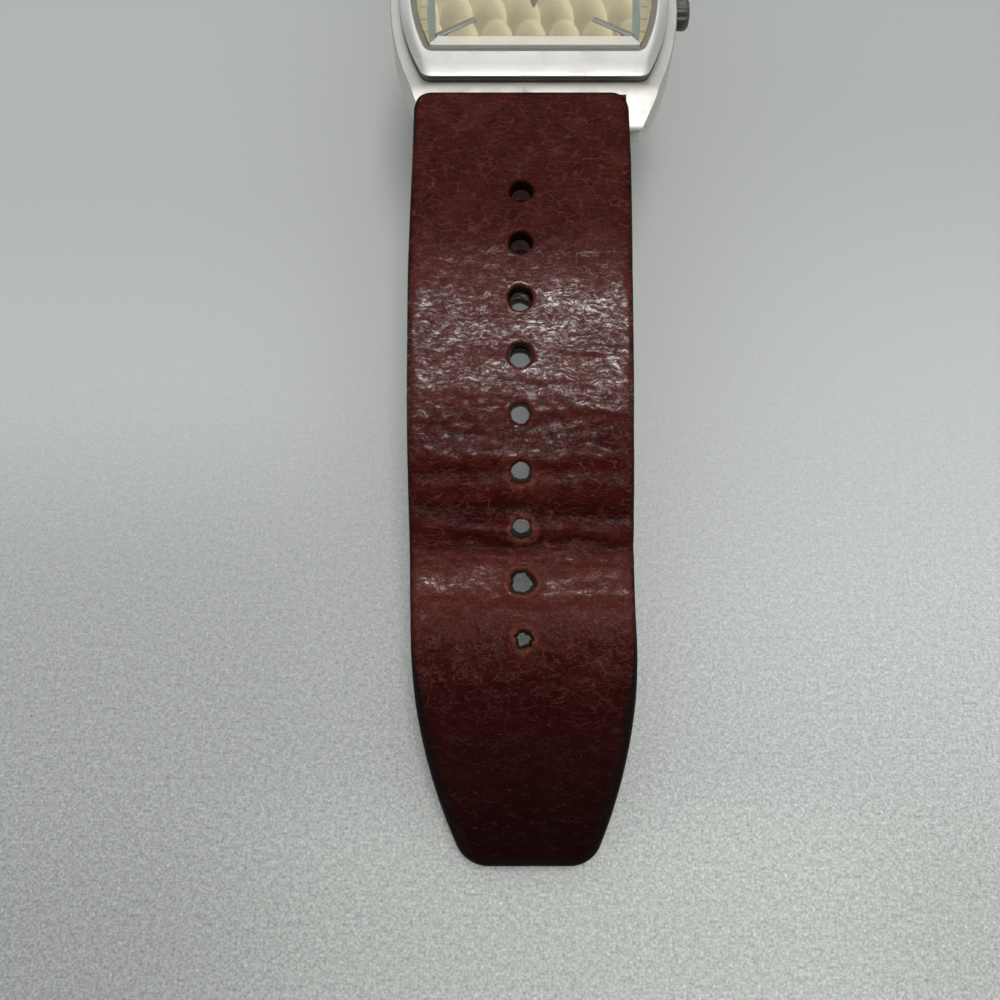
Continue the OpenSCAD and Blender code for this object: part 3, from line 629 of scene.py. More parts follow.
def closeSheet(sheet, upper, lower, wallSteps=3):
    # Two skins over one flat sheet, with walls round its edge and in its openings
    count = len(upper)
    places = [upper, lower]
    faces = sheet["faces"] + [f[:, ::-1] + count for f in sheet["faces"]]
    total = 2 * count
    for loop in [sheet["edge"]] + sheet["rims"]:
        last = loop
        for k in range(1, wallSteps):
            share = k / wallSteps
            places.append(upper[loop] * (1 - share) + lower[loop] * share)
            now = np.arange(total, total + len(loop))
            total += len(loop)
            faces.append(np.stack([last, np.roll(last, -1), np.roll(now, -1), now], 1))
            last = now
        now = loop + count
        faces.append(np.stack([last, np.roll(last, -1), np.roll(now, -1), now], 1))
    return np.concatenate(places), faces


def addLayer(name, sheet, run, up, down, flat, values, material, body, node):
    # One leather layer between two skins, each given as (across, along, lift) on the run; every
    # point of the walls takes the values of the edge point it stands on
    long = body == "strap_long"
    places, faces = closeSheet(sheet, onRun(run, *up, long), onRun(run, *down, long))
    mesh, used = newMesh(name, places, faces)
    points = np.arange(len(sheet["flat"]))
    walls = [np.tile(loop, 2) for loop in [sheet["edge"]] + sheet["rims"]]
    everything = np.concatenate([points, points] + walls)[used]
    addPlaces(mesh, "flatPlace", flat[everything])
    for key, numbers in values.items():
        addValues(mesh, key, numbers[everything])
    addPiece(name, mesh, material, body, [node])


def grid2d(strapInset):
    # The long half's flat grid: head patch, rows of squares round the holes, tip patch
    cell = strap["cell"]
    columns, _ = strapColumns(holes["half"], strap["width"] / 2 - strapInset, cell)
    n = int(round(2 * holes["half"] / cell))
    firstRow = holes["first"] - holes["half"]
    holeCount = len(holes["radius"])
    lastRow = holes["first"] + (holeCount - 1) * holes["pitch"] + holes["half"]
    marks = [firstRow]
    for k in range(holeCount):
        begin = holes["first"] + k * holes["pitch"] - holes["half"]
        marks += list(begin + np.arange(1, n + 1) * 2 * holes["half"] / n)
        if k < holeCount - 1:
            gap = holes["pitch"] - 2 * holes["half"]
            marks += [begin + 2 * holes["half"] + gap / 2, begin + holes["pitch"]]
    marks = np.array(marks)
    head = headPatch(columns, strapInset, firstRow, cell)
    body = np.array([np.stack([narrowed(columns, sideAt(strap["longLength"] - mark, strapInset)),
                               np.full_like(columns, mark)], 1) for mark in marks])
    tip = tipPatch(columns, strapInset, lastRow, cell)
    grid = np.concatenate([head[:-1], body, tip[1:]])
    middle = len(columns) // 2 - n // 2
    openings = [(len(head) - 1 + k * (n + 2), middle, n,
                 np.array([0.0, holes["first"] + k * holes["pitch"]]), holes["radius"][k])
                for k in range(holeCount)]
    return grid, openings


# Folds and creases of the long half. Each: place along, from and to across, lean, width, depth.
# A negative depth is a ridge. The first list bends both layers, the second only the top.
bends = [
    (21.0, -13, 13, 0.02, 3.2, -0.10), (26.0, -13, 13, -0.03, 2.6, -0.13),
    (31.0, -13, 13, 0.03, 2.4, 0.16), (36.6, -13, 13, 0.02, 2.4, -0.16),
    (42.2, -13, 13, -0.02, 1.6, 0.20), (45.0, -13, 13, 0.02, 1.3, -0.16),
    (46.8, -13, 13, 0.02, 0.9, 0.16), (48.5, -13, 13, -0.02, 1.0, -0.16),
    (51.3, -13, 13, 0.02, 1.5, 0.42), (53.4, -4, 13, 0.01, 0.8, -0.12),
    (55.3, -7, 14, 0.03, 0.9, 0.46), (57.3, -13, 13, 0.0, 1.2, -0.10),
    (60.8, -13, 13, 0.03, 1.8, -0.22), (64.0, -13, 13, -0.02, 1.5, 0.16),
]


def foldField(across, along, folds, waviness=0.5):
    # A sum of bell-shaped troughs that run across the strap, each a little wavy and fading out
    # past its two ends
    total = np.zeros_like(across)
    for number, (place, left, right, lean, width, depth) in enumerate(folds):
        wave = waviness * (np.sin(across * 0.45 + number * 2.1) * 0.6
                           + np.sin(across * 1.15 + number * 4.7) * 0.35)
        gap = along - (place + lean * across + wave)
        fade = smoothStep((across - left) / 2.5 + 0.5) * smoothStep((right - across) / 2.5 + 0.5)
        total -= depth * bell(gap, width) * fade
    return total


def smallCreases(count, seedShift):
    # Random short creases, thickest where the strap has been bent round the wrist
    draw = np.random.default_rng(100 + seedShift)
    places = np.concatenate([draw.normal(50, 9, count * 2 // 3),
                             draw.uniform(12, 78, count - count * 2 // 3)])
    middles = draw.uniform(-13, 13, count)
    halves = draw.uniform(1.5, 6.5, count)
    return [(p, m - h, m + h, lean, w, d) for p, m, h, lean, w, d in zip(
        places, middles, halves, draw.normal(0, 0.10, count),
        draw.uniform(0.22, 0.55, count), draw.uniform(0.02, 0.075, count)
        * draw.choice([1, 1, -0.7], count))]


lining = {
    "thin": 1.6,
    "thick": 3.9,              # where the leather is turned round a bar
    "turnedLength": 13.0,
    "notch": 2.25,             # from the spring bar to where the lining is full width again
    "tab": 10.9,               # half width between the lugs
    "headShift": 0.4,
}
tabShare = lining["tab"] / (strap["width"] / 2)


def liningSkins(along, endBar):
    # Upper and lower skin of the lining: flat above, thick near a bar, and round about the bar:
    # there the skins lie at the loop's middle plus and minus the height of its circle
    reach = np.minimum(along - barAlong, endBar - along)
    thick = lining["thin"] + (lining["thick"] - lining["thin"]) * (
        1 - smoothStep((reach - 2) / lining["turnedLength"]))
    loop = strap["loopRadius"]
    beyond = np.clip(-reach, 0, loop * 0.99)
    circle = np.sqrt(loop ** 2 - beyond ** 2)
    return (np.where(reach < 0, circle - loop, 0.0) - 0.02,
            np.where(reach < 0, -loop - circle, -thick))


shoulder = {
    "lugY": 18.6,              # middle and radius of the lugs' round ends
    "lugRadius": 1.65,
    "turn": 62,                # where on the round end the curve begins
    "topY": 14.6,
    "bendY": 15.8,
    "rise": 3.3,               # of the case's flat top over the bar
    "clearance": 0.13,
    "lugSide": 10.7,           # the inner side of the lugs
}


def skived(under, across, along):
    # Over the lugs the underside keeps clear of their shoulders: a curve with one bend point,
    # from the lug's round end up to the case's flat top
    u = np.linspace(0, 1, 30)[:, None]
    turn, radius = math.radians(shoulder["turn"]), shoulder["lugRadius"]
    low = np.array([shoulder["lugY"] + radius * math.cos(turn),
                    barHeight + radius * math.sin(turn)])
    top, bend = (np.array([shoulder[key], shoulder["rise"] + barHeight])
                 for key in ("topY", "bendY"))
    sweep = (low * (1 - u) ** 2 + bend * 2 * u * (1 - u) + top * u ** 2)[::-1]
    fall = math.tan(math.radians(strap["firstSlope"]))
    lowest = (np.interp(startPoint[0] + along, *sweep.T) + shoulder["clearance"]
              - startPoint[1] + along * fall)
    cover = smoothStep((np.abs(across) - shoulder["lugSide"]) / 0.3) * (along < 6)
    return under + cover * np.maximum(lowest - under, 0)


def makeLongStrap(leather, liningSkin):
    # Top skin = thickness + bends + creases + lips round the holes - rounded edges. A hole's
    # rim lies at its place times (1 + wander + flare / distance from the hole's middle).
    run = strap["longRun"]
    creases = smallCreases(110, 1)
    grid, openings = grid2d(strap["edgeRound"])
    sheet = flatSheet(grid, strap["edgeRound"], openings)
    x, s = sheet["flat"].T
    bend = foldField(x, s, bends)
    relief = foldField(x, s, creases, 0.25)
    # Sharp named creases: beside the fourth hole, and the fan below the last one
    relief += foldField(x, s, [(32.6, 4.2, 9.6, 0.10, 0.28, 0.16), (54.6, -13, -5, -0.06, 0.4, 0.1),
                               (51.9, 3, 13, 0.05, 0.5, 0.12), (56.2, -13, 2, 0.02, 0.5, 0.12)],
                        0.2)
    for k, lean in enumerate((0.55, 0.85, 1.25)):
        ray = (s - 67.6) - lean * (x - 0.6)
        reach = smoothStep((x - 0.4) / 0.8) * smoothStep((8.5 - 1.6 * k - x) / 3)
        relief -= 0.11 * bell(ray / math.hypot(1, lean), 0.3) * reach
    # The grain swells softly between the creases
    relief += 0.018 * (np.sin(x * 2.3 + 1.3 * np.sin(s * 0.9)) * np.sin(s * 2.9
                       + 1.1 * np.sin(x * 0.8)))
    # Creases are deeper between the fifth and the ninth hole
    relief *= 1 + 0.9 * smoothStep((s - 38) / 4) * smoothStep((70 - s) / 6)
    gap, owner = sheet["rimGap"], sheet["owner"]
    own = np.maximum(owner, 0)
    near = owner >= 0
    lip = np.array(holes["lip"])[own] * bell(gap - 0.75, 0.5) * near
    sink = roundOff(np.where(near, gap, farGap), 0.38)
    calm = 1 - 0.7 * bell(np.minimum(sheet["edgeGap"], 5), 0.3)
    crisp = 1 - 0.8 * smoothStep((1.7 - s) / 0.8)       # the head's edge is rounded less
    lift = (strap["topThickness"] + bend + relief * calm + lip
            - roundOff(sheet["edgeGap"], strap["edgeRound"]) * crisp - sink)
    under = skived(bend + roundOff(sheet["edgeGap"], 0.22) + 0.01, x - strap["creep"], s)
    under = np.minimum(under, lift - 0.12)
    flare = np.array(holes["flare"])[own] * bell(np.maximum(gap, 0), 0.6) * near
    centreS = holes["first"] + own * holes["pitch"]
    away = np.maximum(np.hypot(x, s - centreS), 0.2)
    # Holes wear ragged: the rim wanders with the angle round it
    angle = np.arctan2(s - centreS, x)
    ragged = (0.05 * np.sin(3 * angle + own) + 0.04 * np.sin(5 * angle + 2.0 * own)
              + 0.03 * np.sin(9 * angle + own)) * np.array([.3, .3, .4, .4, .5, .6, .7, 1.6,
                                                            1.8])[own]
    wander = 1 + (ragged * bell(np.maximum(gap, 0), 0.8) * near) / away
    upX, upS = x * (wander + flare / away), centreS + (s - centreS) * (wander + flare / away)
    upX, upS = np.where(near, upX, x), np.where(near, upS, s)
    downX = np.where(near, x * wander, x)
    downS = np.where(near, centreS + (s - centreS) * wander, s)
    values = {
        "edgeGap": sheet["edgeGap"] + np.where(
            sheet["edgeGap"] >= strap["edgeRound"] - 1e-6, sideGap(x, s), 0),
        "rimGap": np.where(near, np.maximum(gap, 0), farGap),
        "holeShadeMask": near * smoothStep(1 - gap / 0.10),
        "foldHeight": bend + relief,
    }
    flat = np.stack([x, s, np.zeros_like(x)], 1)
    addLayer("strapLongTop", sheet, run, (upX, upS, lift), (downX, downS, under), flat, values,
             leather, "strap_long", "strap_long_top")

    # Lining: thick where it turns round the spring bar, thin under the holes. Its first holes
    # have crept towards the tip.
    slip = np.array([1.25, 1.25, 0.8, 0.25, 0, 0, 0, 0, 0])[own] * bell(np.maximum(gap, 0), 0.9)
    along = np.where(near, downS + slip, s + lining["headShift"] * (1 - smoothStep(s / 6)))
    high, low = liningSkins(along, strap["longLength"] + 99)
    upper = bend + high - roundOff(sheet["edgeGap"], 0.2)
    lower = bend * 0.85 + low + roundOff(sheet["edgeGap"], 0.45) + 0.012 * np.sin(
        x * 3.1 + 2 * np.sin(s * 1.7))
    across = downX * np.where(along < barAlong + lining["notch"], tabShare, 1.0)
    values = {"edgeGap": values["edgeGap"], "holeShadeMask": near * smoothStep(1.6 - gap / 1.2)}
    addLayer("strapLongLining", sheet, run, (across, along, upper), (across, along, lower), flat,
             values, liningSkin, "strap_long", "strap_long_lining")


def sideGap(x, s):
    # Rough distance from the grid's border to a place inside it
    tip = strap["longLength"] - s
    side = sideAt(tip, strap["edgeRound"]) - np.abs(x)
    return np.maximum(np.minimum(np.minimum(side, tip - strap["edgeRound"]),
                                 s - strap["headGap"] - strap["edgeRound"]), 0)


# Leather

def makeGrainGroup():
    # Leather grain: small tilted cells, wavy wrinkles that run across the strap, and a few long
    # cracks; each place is first shifted by a slow noise, so nothing runs straight
    group, given, end = newGroup("leatherGrain", {"Place": "vector", "Wrinkle": "value"},
                                 {"Height": "value", "Crackle": "value", "Mottle": "value",
                                  "Shine": "value"})
    middle = (0.5, 0.5, 0.5)
    warp = nodeAfter("ShaderNodeTexNoise", {"Vector": given["Place"], "Scale": 0.45,
                                            "Detail": 3.0})["Color"]
    shifted = vectorCalc("SCALE", vectorCalc("SUBTRACT", warp, middle), 1.8)
    place = vectorCalc("ADD", given["Place"], shifted)
    # Facets: each small cell is a plane with a tilt of its own (heights in millimetres)
    facets = []
    for size, tilt in ((0.24, 0.36), (0.75, 0.16)):
        scaled = vectorCalc("SCALE", stretched(place, (0.8, 1.2, 1)), 1.0 / size)
        cell = nodeAfter("ShaderNodeTexVoronoi", {"Vector": scaled, "Scale": 1.0})
        arm = vectorCalc("SUBTRACT", scaled, cell["Position"])
        lean = vectorCalc("SUBTRACT", cell["Color"], middle)
        facets.append(times(vectorCalc("DOT_PRODUCT", arm, lean), size * tilt))
    # Slow transverse bands carry the light from patch to patch
    bands = noise(stretched(place, (0.13, 0.42, 1)), 1.0, 3.0, 0.55)
    wrinkle = noise(stretched(place, (0.42, 1.5, 1)), 1.0, 3.0, 0.6)
    ridge = calc("SUBTRACT", 1.0, times(calc("ABSOLUTE", plus(wrinkle, -0.5)), 9.0), clamp=True)
    # Cracks: where a cell border and a patch of noise meet; broad ones, and fine ones between
    broad = times(remap(cellEdges(stretched(place, (0.25, 0.85, 1))), 0.05, 0.0),
                  remap(noise(given["Place"], 0.6, 2.0), 0.42, 0.58))
    fine = times(remap(cellEdges(stretched(place, (0.7, 1.7, 1))), 0.07, 0.0),
                 remap(noise(given["Place"], 0.35, 2.0), 0.46, 0.62, 0.0, 0.7))
    cracks = calc("MAXIMUM", broad, fine)
    height = plus(*facets, times(bands, 0.30), times(ridge, given["Wrinkle"], -0.022),
                  times(cracks, -0.02))
    # Shine: broad worn patches times fine flakes and glints, dull along the wrinkles
    patches, flakes, glints = [
        remap(noise(stretched(place, scale), 1.0, detail, roughness), *way)
        for scale, detail, roughness, way in (
            ((0.11, 0.30, 1), 4.0, 0.6, (0.36, 0.62, 0.30, 1.0)),
            ((1.9, 3.8, 1), 4.0, 0.7, (0.44, 0.60, 0.12, 1.0)),
            ((0.6, 1.9, 1), 3.0, 0.65, (0.46, 0.60, 0.45, 1.5)))]
    shine = calc("MULTIPLY", times(patches, flakes, glints), plus(times(ridge, -0.8), 1.0),
                 clamp=True)
    for key, value in (("Height", height), ("Crackle", cracks), ("Shine", shine),
                       ("Mottle", noise(given["Place"], 0.5, 4.0, 0.6))):
        group.links.new(value, end[key])
    return group


leatherLook = {
    "deep": (0.019, 0.0019, 0.0014),
    "base": (0.046, 0.0046, 0.0030),
    "warm": (0.092, 0.0190, 0.0145),
    "line": (0.125, 0.034, 0.024),
    "burnt": (0.006, 0.0035, 0.003),
    "worn": (0.15, 0.048, 0.030),
}


def makeLeather(name, grain, look, longHalf):
    # Base colour with mottles, painted shade in the folds' troughs and painted light on their
    # crests, wear, painted shade towards the tip, pale cracks that are partly painted glints, burnt
    # edges and painted shade in the holes laid over it in turn; coat weight = polish times the
    # grain's shine
    material, tree, shader = newMaterial(name, look["base"], 0.34)
    shader.inputs["Specular IOR Level"].default_value = 0.06
    shader.inputs["Coat Roughness"].default_value = 0.27
    shader.inputs["Coat IOR"].default_value = 1.7
    place = attribute(tree, "flatPlace", "Vector")
    along = nodeAfter("ShaderNodeSeparateXYZ", {0: place})["Y"]
    patch = noise(place, 0.16, 3.0, 0.6)
    out = placeGroup(tree, grain, Place=place, Wrinkle=remap(patch, 0.42, 0.6, 0.35, 1.0))
    colour = blendColours(remap(out["Mottle"], 0.35, 0.66), look["deep"], look["base"])
    colour = blendColours(0.45, colour, look["base"])
    colour = blendColours(times(remap(patch, 0.50, 0.72), 0.4), colour, look["warm"])
    lines = out["Crackle"]
    burnt, polish = 0.8, 0.15
    if longHalf:
        # Polished by wear between the second and the fifth hole, on the folds and once below
        fold = attribute(tree, "foldHeight")
        crest = times(remap(along, 16.0, 26.0, 0.03, 1.0), remap(along, 45.0, 39.0, 0.06, 1.0))
        onFolds = times(remap(fold, 0.05, 0.22, 0.0, 0.8), remap(along, 40.0, 46.0))
        polish = times(plus(crest, onFolds), remap(along, 69.0, 63.0, 0.06, 1.0))
        # Worn rims below the fifth hole, and two stretches of warmer colour
        worn = times(remap(attribute(tree, "rimGap"), 1.5, 0.2), remap(along, 42.0, 52.0),
                     remap(noise(place, 1.3, 3.0), 0.35, 0.6), 0.7)
        warmer = plus(times(remap(along, 54.0, 60.0), remap(along, 68.0, 62.0, 0.0, 0.65)),
                      times(remap(along, 18.0, 26.0), remap(along, 44.0, 38.0, 0.0, 0.45)))
        for amount, tone in (
                # Painted shade in the folds' troughs, and painted light on their crests
                (remap(fold, -0.08, -0.42, 0.0, 0.75), look["deep"]),
                (remap(fold, 0.06, 0.3, 0.0, 0.4), look["warm"]),
                (worn, look["worn"]), (warmer, look["warm"]),
                # Painted shade: the colour darkens towards the tip
                (remap(along, 65.0, 76.0, 0.0, 0.85), darker(look["deep"], 0.8)),
                (remap(along, 76.0, 92.0, 0.0, 0.9), darker(look["deep"], 0.35))):
            colour = blendColours(amount, colour, tone)
        lines = times(lines, remap(along, 82.0, 64.0, 0.08, 1.0))
        burnt = remap(along, 66.0, 76.0, 0.5, 1.9)
    # The pale cracks are partly the grain's own cracks and partly painted glints along them
    colour = blendColours(times(lines, 0.62), colour, look["line"])
    # The burnt edge is ragged: its distance wanders with a noise
    ragged = plus(attribute(tree, "edgeGap"), times(plus(noise(place, 0.9, 3.0), -0.5), 0.9))
    dark = calc("SUBTRACT", 1.0, calc("DIVIDE", ragged, burnt), clamp=True)
    colour = blendColours(remap(dark, 0.0, 0.75), colour, look["burnt"])
    # Painted shade: the hole walls, and the lining seen through the holes, take the burnt edge's
    # near-black
    colour = blendColours(times(attribute(tree, "holeShadeMask"), 0.95), colour, look["burnt"])
    tree.links.new(colour, shader.inputs["Base Color"])
    tree.links.new(times(out["Shine"], polish), shader.inputs["Coat Weight"])
    rough = plus(times(out["Mottle"], 0.2), 0.25, times(lines, 0.1))
    tree.links.new(rough, shader.inputs["Roughness"])
    bump(tree, shader, out["Height"], 0.001, 1.0)
    return material


grainGroup = makeGrainGroup()
leather = makeLeather("burgundyLeather", grainGroup, leatherLook, True)
liningLook = {"deep": (0.045, 0.016, 0.011), "base": (0.085, 0.034, 0.022),
              "warm": (0.13, 0.06, 0.04), "line": (0.2, 0.1, 0.07),
              "burnt": (0.02, 0.01, 0.008)}
liningLeather = makeLeather("liningLeather", grainGroup, liningLook, False)
makeLongStrap(leather, liningLeather)
print("long strap half done")

# Short strap half: a flat sheet like the long one's, with a slot cut in from its far end

shortHalf = {
    "slotHalf": 1.6,
    "slotLength": 9.0,         # to the middle of its round end
    "edgeRound": 0.7,
    "cell": 0.42,
}


def makeShortStrap(leather, liningSkin):
    # Grid = head patch, straight rows, and two tails beside the slot. The skins lie as on
    # the long half, without bends and holes.
    run = shortRun()
    length = sum(part[0] for part in run)
    inset, cell, slot = shortHalf["edgeRound"], shortHalf["cell"], shortHalf["slotHalf"]
    wide, half = strap["width"] / 2 - inset, slot + inset
    columns, slotLeft = strapColumns(half, wide, cell)
    slotRow = length - shortHalf["slotLength"]
    head = headPatch(columns, inset, 6.0, cell)
    marks = np.linspace(6.0, slotRow, int((slotRow - 6.0) / cell))
    # The last rows before the slot bend back to its round end
    away = np.sqrt(np.maximum(half ** 2 - columns ** 2, 0))
    share = np.clip((marks - slotRow + 6) / 6, 0, 1)
    body = np.stack(np.broadcast_arrays(columns[None], marks[:, None] - away * share[:, None]), -1)
    end = np.linspace(slotRow, length - inset, int((length - inset - slotRow) / cell))
    tail = np.stack(np.broadcast_arrays(columns[None], end[:, None]), -1)
    grid = np.concatenate([head[:-1], body, tail[1:]])
    rows, cols = grid.shape[:2]
    index = np.arange(rows * cols).reshape(rows, cols)
    slotRight, slotEnd = cols - slotLeft - 1, len(head) - 2 + len(marks)
    border = np.concatenate([index[0, :-1], index[:-1, -1], index[-1, :slotRight:-1],
                             index[:slotEnd:-1, slotRight],
                             index[slotEnd, slotRight:slotLeft:-1],
                             index[slotEnd:-1, slotLeft], index[-1, slotLeft:0:-1],
                             index[:0:-1, 0]])
    keep = np.ones((rows - 1, cols - 1), bool)
    keep[slotEnd:, slotLeft:slotRight] = False
    sheet = flatSheet(grid, inset, [], border, keep)
    x, s = sheet["flat"].T
    relief = foldField(x, s, smallCreases(40, 7), 0.25) * 0.6
    swell = 0.014 * np.sin(x * 2.1 + np.sin(s)) * np.sin(s * 2.7)
    gap = sheet["edgeGap"]
    inside = np.maximum(np.minimum(wide - np.abs(x), s - strap["headGap"]), 0)
    edge = np.where(gap >= inset - 1e-6, inset + inside, gap)
    flat = np.stack([x, -20.0 - s, np.zeros_like(x)], 1)
    values = {"edgeGap": edge}
    upper = strap["topThickness"] + relief + swell - roundOff(gap, inset)
    lower = np.minimum(skived(roundOff(gap, 0.2) + 0.01, x, s), upper - 0.12)
    addLayer("strapShortTop", sheet, run, (x, s, upper), (x, s, lower), flat, values, leather,
             "strap_short", "strap_short_top")
    reach = strap["loopRadius"] * 0.98
    along = (s + lining["headShift"] * (1 - smoothStep(s / 6))
             + reach * smoothStep((s - length + 8) / 8))
    high, low = liningSkins(along, length)
    across = x * np.where(along < barAlong + lining["notch"], tabShare, 1.0)
    addLayer("strapShortLining", sheet, run, (across, along, high - roundOff(gap, 0.2)),
             (across, along, low + roundOff(gap, 0.4)), flat, values, liningSkin, "strap_short",
             "strap_short_lining")
    return run, length


# Keepers: a band of rounded section that follows a rounded rectangle round the strap

keepers = {
    "thickness": 1.1,
    "width": 6.5,
    "sideGap": 0.25,
    "under": 1.8,              # below the run, on the strap's inner side
    "over": 6.1,               # above the run
    "corner": 1.6,
    "sectionCorner": 0.35,
    "fixedBack": 17.5,         # from the buckle's bar back along the strap
    "slidingBack": 27.5,
}


def roundedBox(halfX, low, high, radius, count):
    # Points and outward directions round a rectangle with round corners
    centres = [(halfX - radius, high - radius, 0), (radius - halfX, high - radius, 1),
               (radius - halfX, low + radius, 2), (halfX - radius, low + radius, 3)]
    points, outs = [], []
    for number, (cx, cy, quarter) in enumerate(centres):
        angle = np.linspace(quarter, quarter + 1, count) * math.pi / 2
        out = np.stack([np.cos(angle), np.sin(angle)], 1)
        points.append(np.array([cx, cy]) + radius * out)
        outs.append(out)
        nextX, nextY, _ = centres[(number + 1) % 4]
        last = points[-1][-1]
        target = np.array([nextX, nextY]) + radius * out[-1]
        steps = max(int(np.linalg.norm(target - last) / 0.5), 1)
        share = np.linspace(0, 1, steps + 1)[1:-1, None]
        points.append(last + (target - last) * share)
        outs.append(np.repeat(out[-1:], len(share), 0))
    return np.concatenate(points), np.concatenate(outs)


def makeKeeper(name, run, middle, leather, body, node):
    # Each section point lies on the path's point plus its direction times the section's height
    path, outs = roundedBox(strap["width"] / 2 + keepers["sideGap"] + keepers["thickness"],
                            -keepers["under"] - keepers["thickness"],
                            keepers["over"] + keepers["thickness"], keepers["corner"], 9)
    section, _ = roundedBox(keepers["width"] / 2, -keepers["thickness"], 0.0,
                            keepers["sectionCorner"], 5)
    ring = path[:, None] + outs[:, None] * section[None, :, 1:2]
    wave = 1 + 0.02 * np.sin(np.arange(len(path)) * 0.11)[:, None]
    along = middle + section[None, :, 0] * wave
    x, n = ring[..., 0], ring[..., 1]
    places = onRun(run, x.ravel(), np.broadcast_to(along, x.shape).ravel(), n.ravel(), False)
    rows, cols = x.shape
    index = np.arange(rows * cols).reshape(rows, cols)
    down, right = np.roll(index, -1, 0), np.roll(index, -1, 1)
    faces = np.stack([index, down, np.roll(down, -1, 1), right], -1).reshape(-1, 4)
    mesh, _ = newMesh(name, places, [faces])
    length = np.concatenate([[0], np.cumsum(np.linalg.norm(np.diff(path, axis=0), axis=1))])
    width = np.broadcast_to(section[None, :, 0], x.shape)
    flat = np.stack([np.broadcast_to(length[:, None], x.shape), width - 130.0, x * 0], -1)
    addPlaces(mesh, "flatPlace", flat.reshape(-1, 3))
    outer = np.broadcast_to(section[None, :, 1] > -0.3, x.shape)
    addValues(mesh, "edgeGap", np.where(outer, keepers["width"] / 2 - np.abs(width),
                                        1.2).ravel())
    addPiece(name, mesh, leather, body, [node])


# Watch head: barrel outlines, as in the part's source

head = {
    "caseHeight": 8.6,
    "bezelHeight": 1.6,
    "bezel": (17.15, 14.5, 14.2, 1.5),          # half width, half length, half end width, corner
    "window": (15.6, 10.8, 13.75, 1.2),
    "dial": (16.2, 11.6, 14.5, 1.2),
    "seal": 0.6,
    "steps": (26, 10, 12),     # along a quarter's side, corner and straight end
    "slope": (0.43, 2.4, 1.7),  # the bezel top's drop at its rim, reach inwards and power
}
backLevel = barHeight - 5.3
bezelTop = head["caseHeight"] + head["bezelHeight"]


def barrelOutline(form, inset=0.0):
    # A quarter is an arc through the middle of the side, a corner arc that goes on from it,
    # and half of the straight end; the other quarters mirror it
    bigSteps, smallSteps, endSteps = head["steps"]
    a, b, c, r = form
    a, b, c, r = a - inset, b - inset, c - inset, max(r - inset, 0.3)
    ai, bi, ci = a - r, b - r, c - r
    big = (bi ** 2 + (ai - ci) ** 2) / (2 * (ai - ci))
    turn = math.asin(bi / big)
    first = np.linspace(0, turn, bigSteps + 1)
    second = np.linspace(turn, math.pi / 2, smallSteps + 1)[1:]
    quarter = np.concatenate([
        np.stack([ai - big + (big + r) * np.cos(first), (big + r) * np.sin(first)], 1),
        np.stack([ci + r * np.cos(second), bi + r * np.sin(second)], 1),
        np.stack([np.linspace(ci, 0, endSteps + 1)[1:], np.full(endSteps, b)], 1)])
    left = quarter[-2::-1] * [-1, 1]
    upper = np.concatenate([quarter, left])
    lower = upper[-2:0:-1] * [1, -1]
    return np.concatenate([upper, lower])


def levelRings(form, levels):
    # The outline at each (inset, height over the case back)
    rings = []
    for inset, height in levels:
        line = barrelOutline(form, inset)
        rings.append(np.column_stack([line, np.full(len(line), backLevel + height)]))
    return rings


def faceValues(piece, name):
    # One vector for each face of a piece, such as its centre or its normal
    values = np.zeros(len(piece.data.polygons) * 3)
    piece.data.polygons.foreach_get(name, values)
    return values.reshape(-1, 3)


def secondMaterial(piece, material, chosen):
    # Gives the chosen faces a second material
    piece.data.materials.append(material)
    piece.data.polygons.foreach_set("material_index", chosen.astype(np.int32))


def joinRings(rings, closed=False, base=0):
    # Quads between neighbouring rings of equal length
    count = len(rings[0])
    index = np.arange(len(rings) * count).reshape(len(rings), count) + base
    after = np.roll(index, -1, 0) if closed else index[1:]
    index = index if closed else index[:-1]
    return np.stack([index, np.roll(index, -1, 1), np.roll(after, -1, 1), after],
                    -1).reshape(-1, 4)


def capRing(ring, base):
    # Rings that shrink to the middle, and a fan of triangles
    middle = ring.mean(0)
    rings = [middle + (ring - middle) * np.array([k, k, 1])
             for k in (1.0, 0.96, 0.88, 0.72, 0.5, 0.25)]
    places = np.concatenate(rings[1:] + [middle[None]])
    count = len(ring)
    faces = joinRings(rings, base=base)
    last = base + (len(rings) - 1) * count
    fan = np.arange(count)
    tris = np.stack([last + fan, last + np.roll(fan, -1), np.full(count, last + count)], 1)
    return places, faces, tris


def headPiece(name, rings, material, node, capped=False, sharp=35):
    # A closed tube of rings, or a stack of rings with both ends closed
    places = [np.concatenate(rings)]
    faces = [joinRings(rings, closed=not capped)]
    if capped:
        count = len(rings[0])
        top, quads, tris = capRing(rings[-1], (len(rings) - 1) * count)
        places.append(top)
        faces += [quads, tris]
        # The lower cap starts from a copy of the first ring, which is welded below
        start = len(rings) * count + len(top)
        low, quads, tris = capRing(rings[0], start)
        places += [rings[0], low]
        faces += [quads, tris]
    mesh, _ = newMesh(name, np.concatenate(places), faces, recalculate=False)
    reshape(mesh, lambda shell: bmesh.ops.remove_doubles(shell, verts=shell.verts, dist=1e-7),
            lambda shell: bmesh.ops.recalc_face_normals(shell, faces=shell.faces))
    mesh.set_sharp_from_angle(angle=math.radians(sharp))
    return addPiece(name, mesh, material, "case", [node])


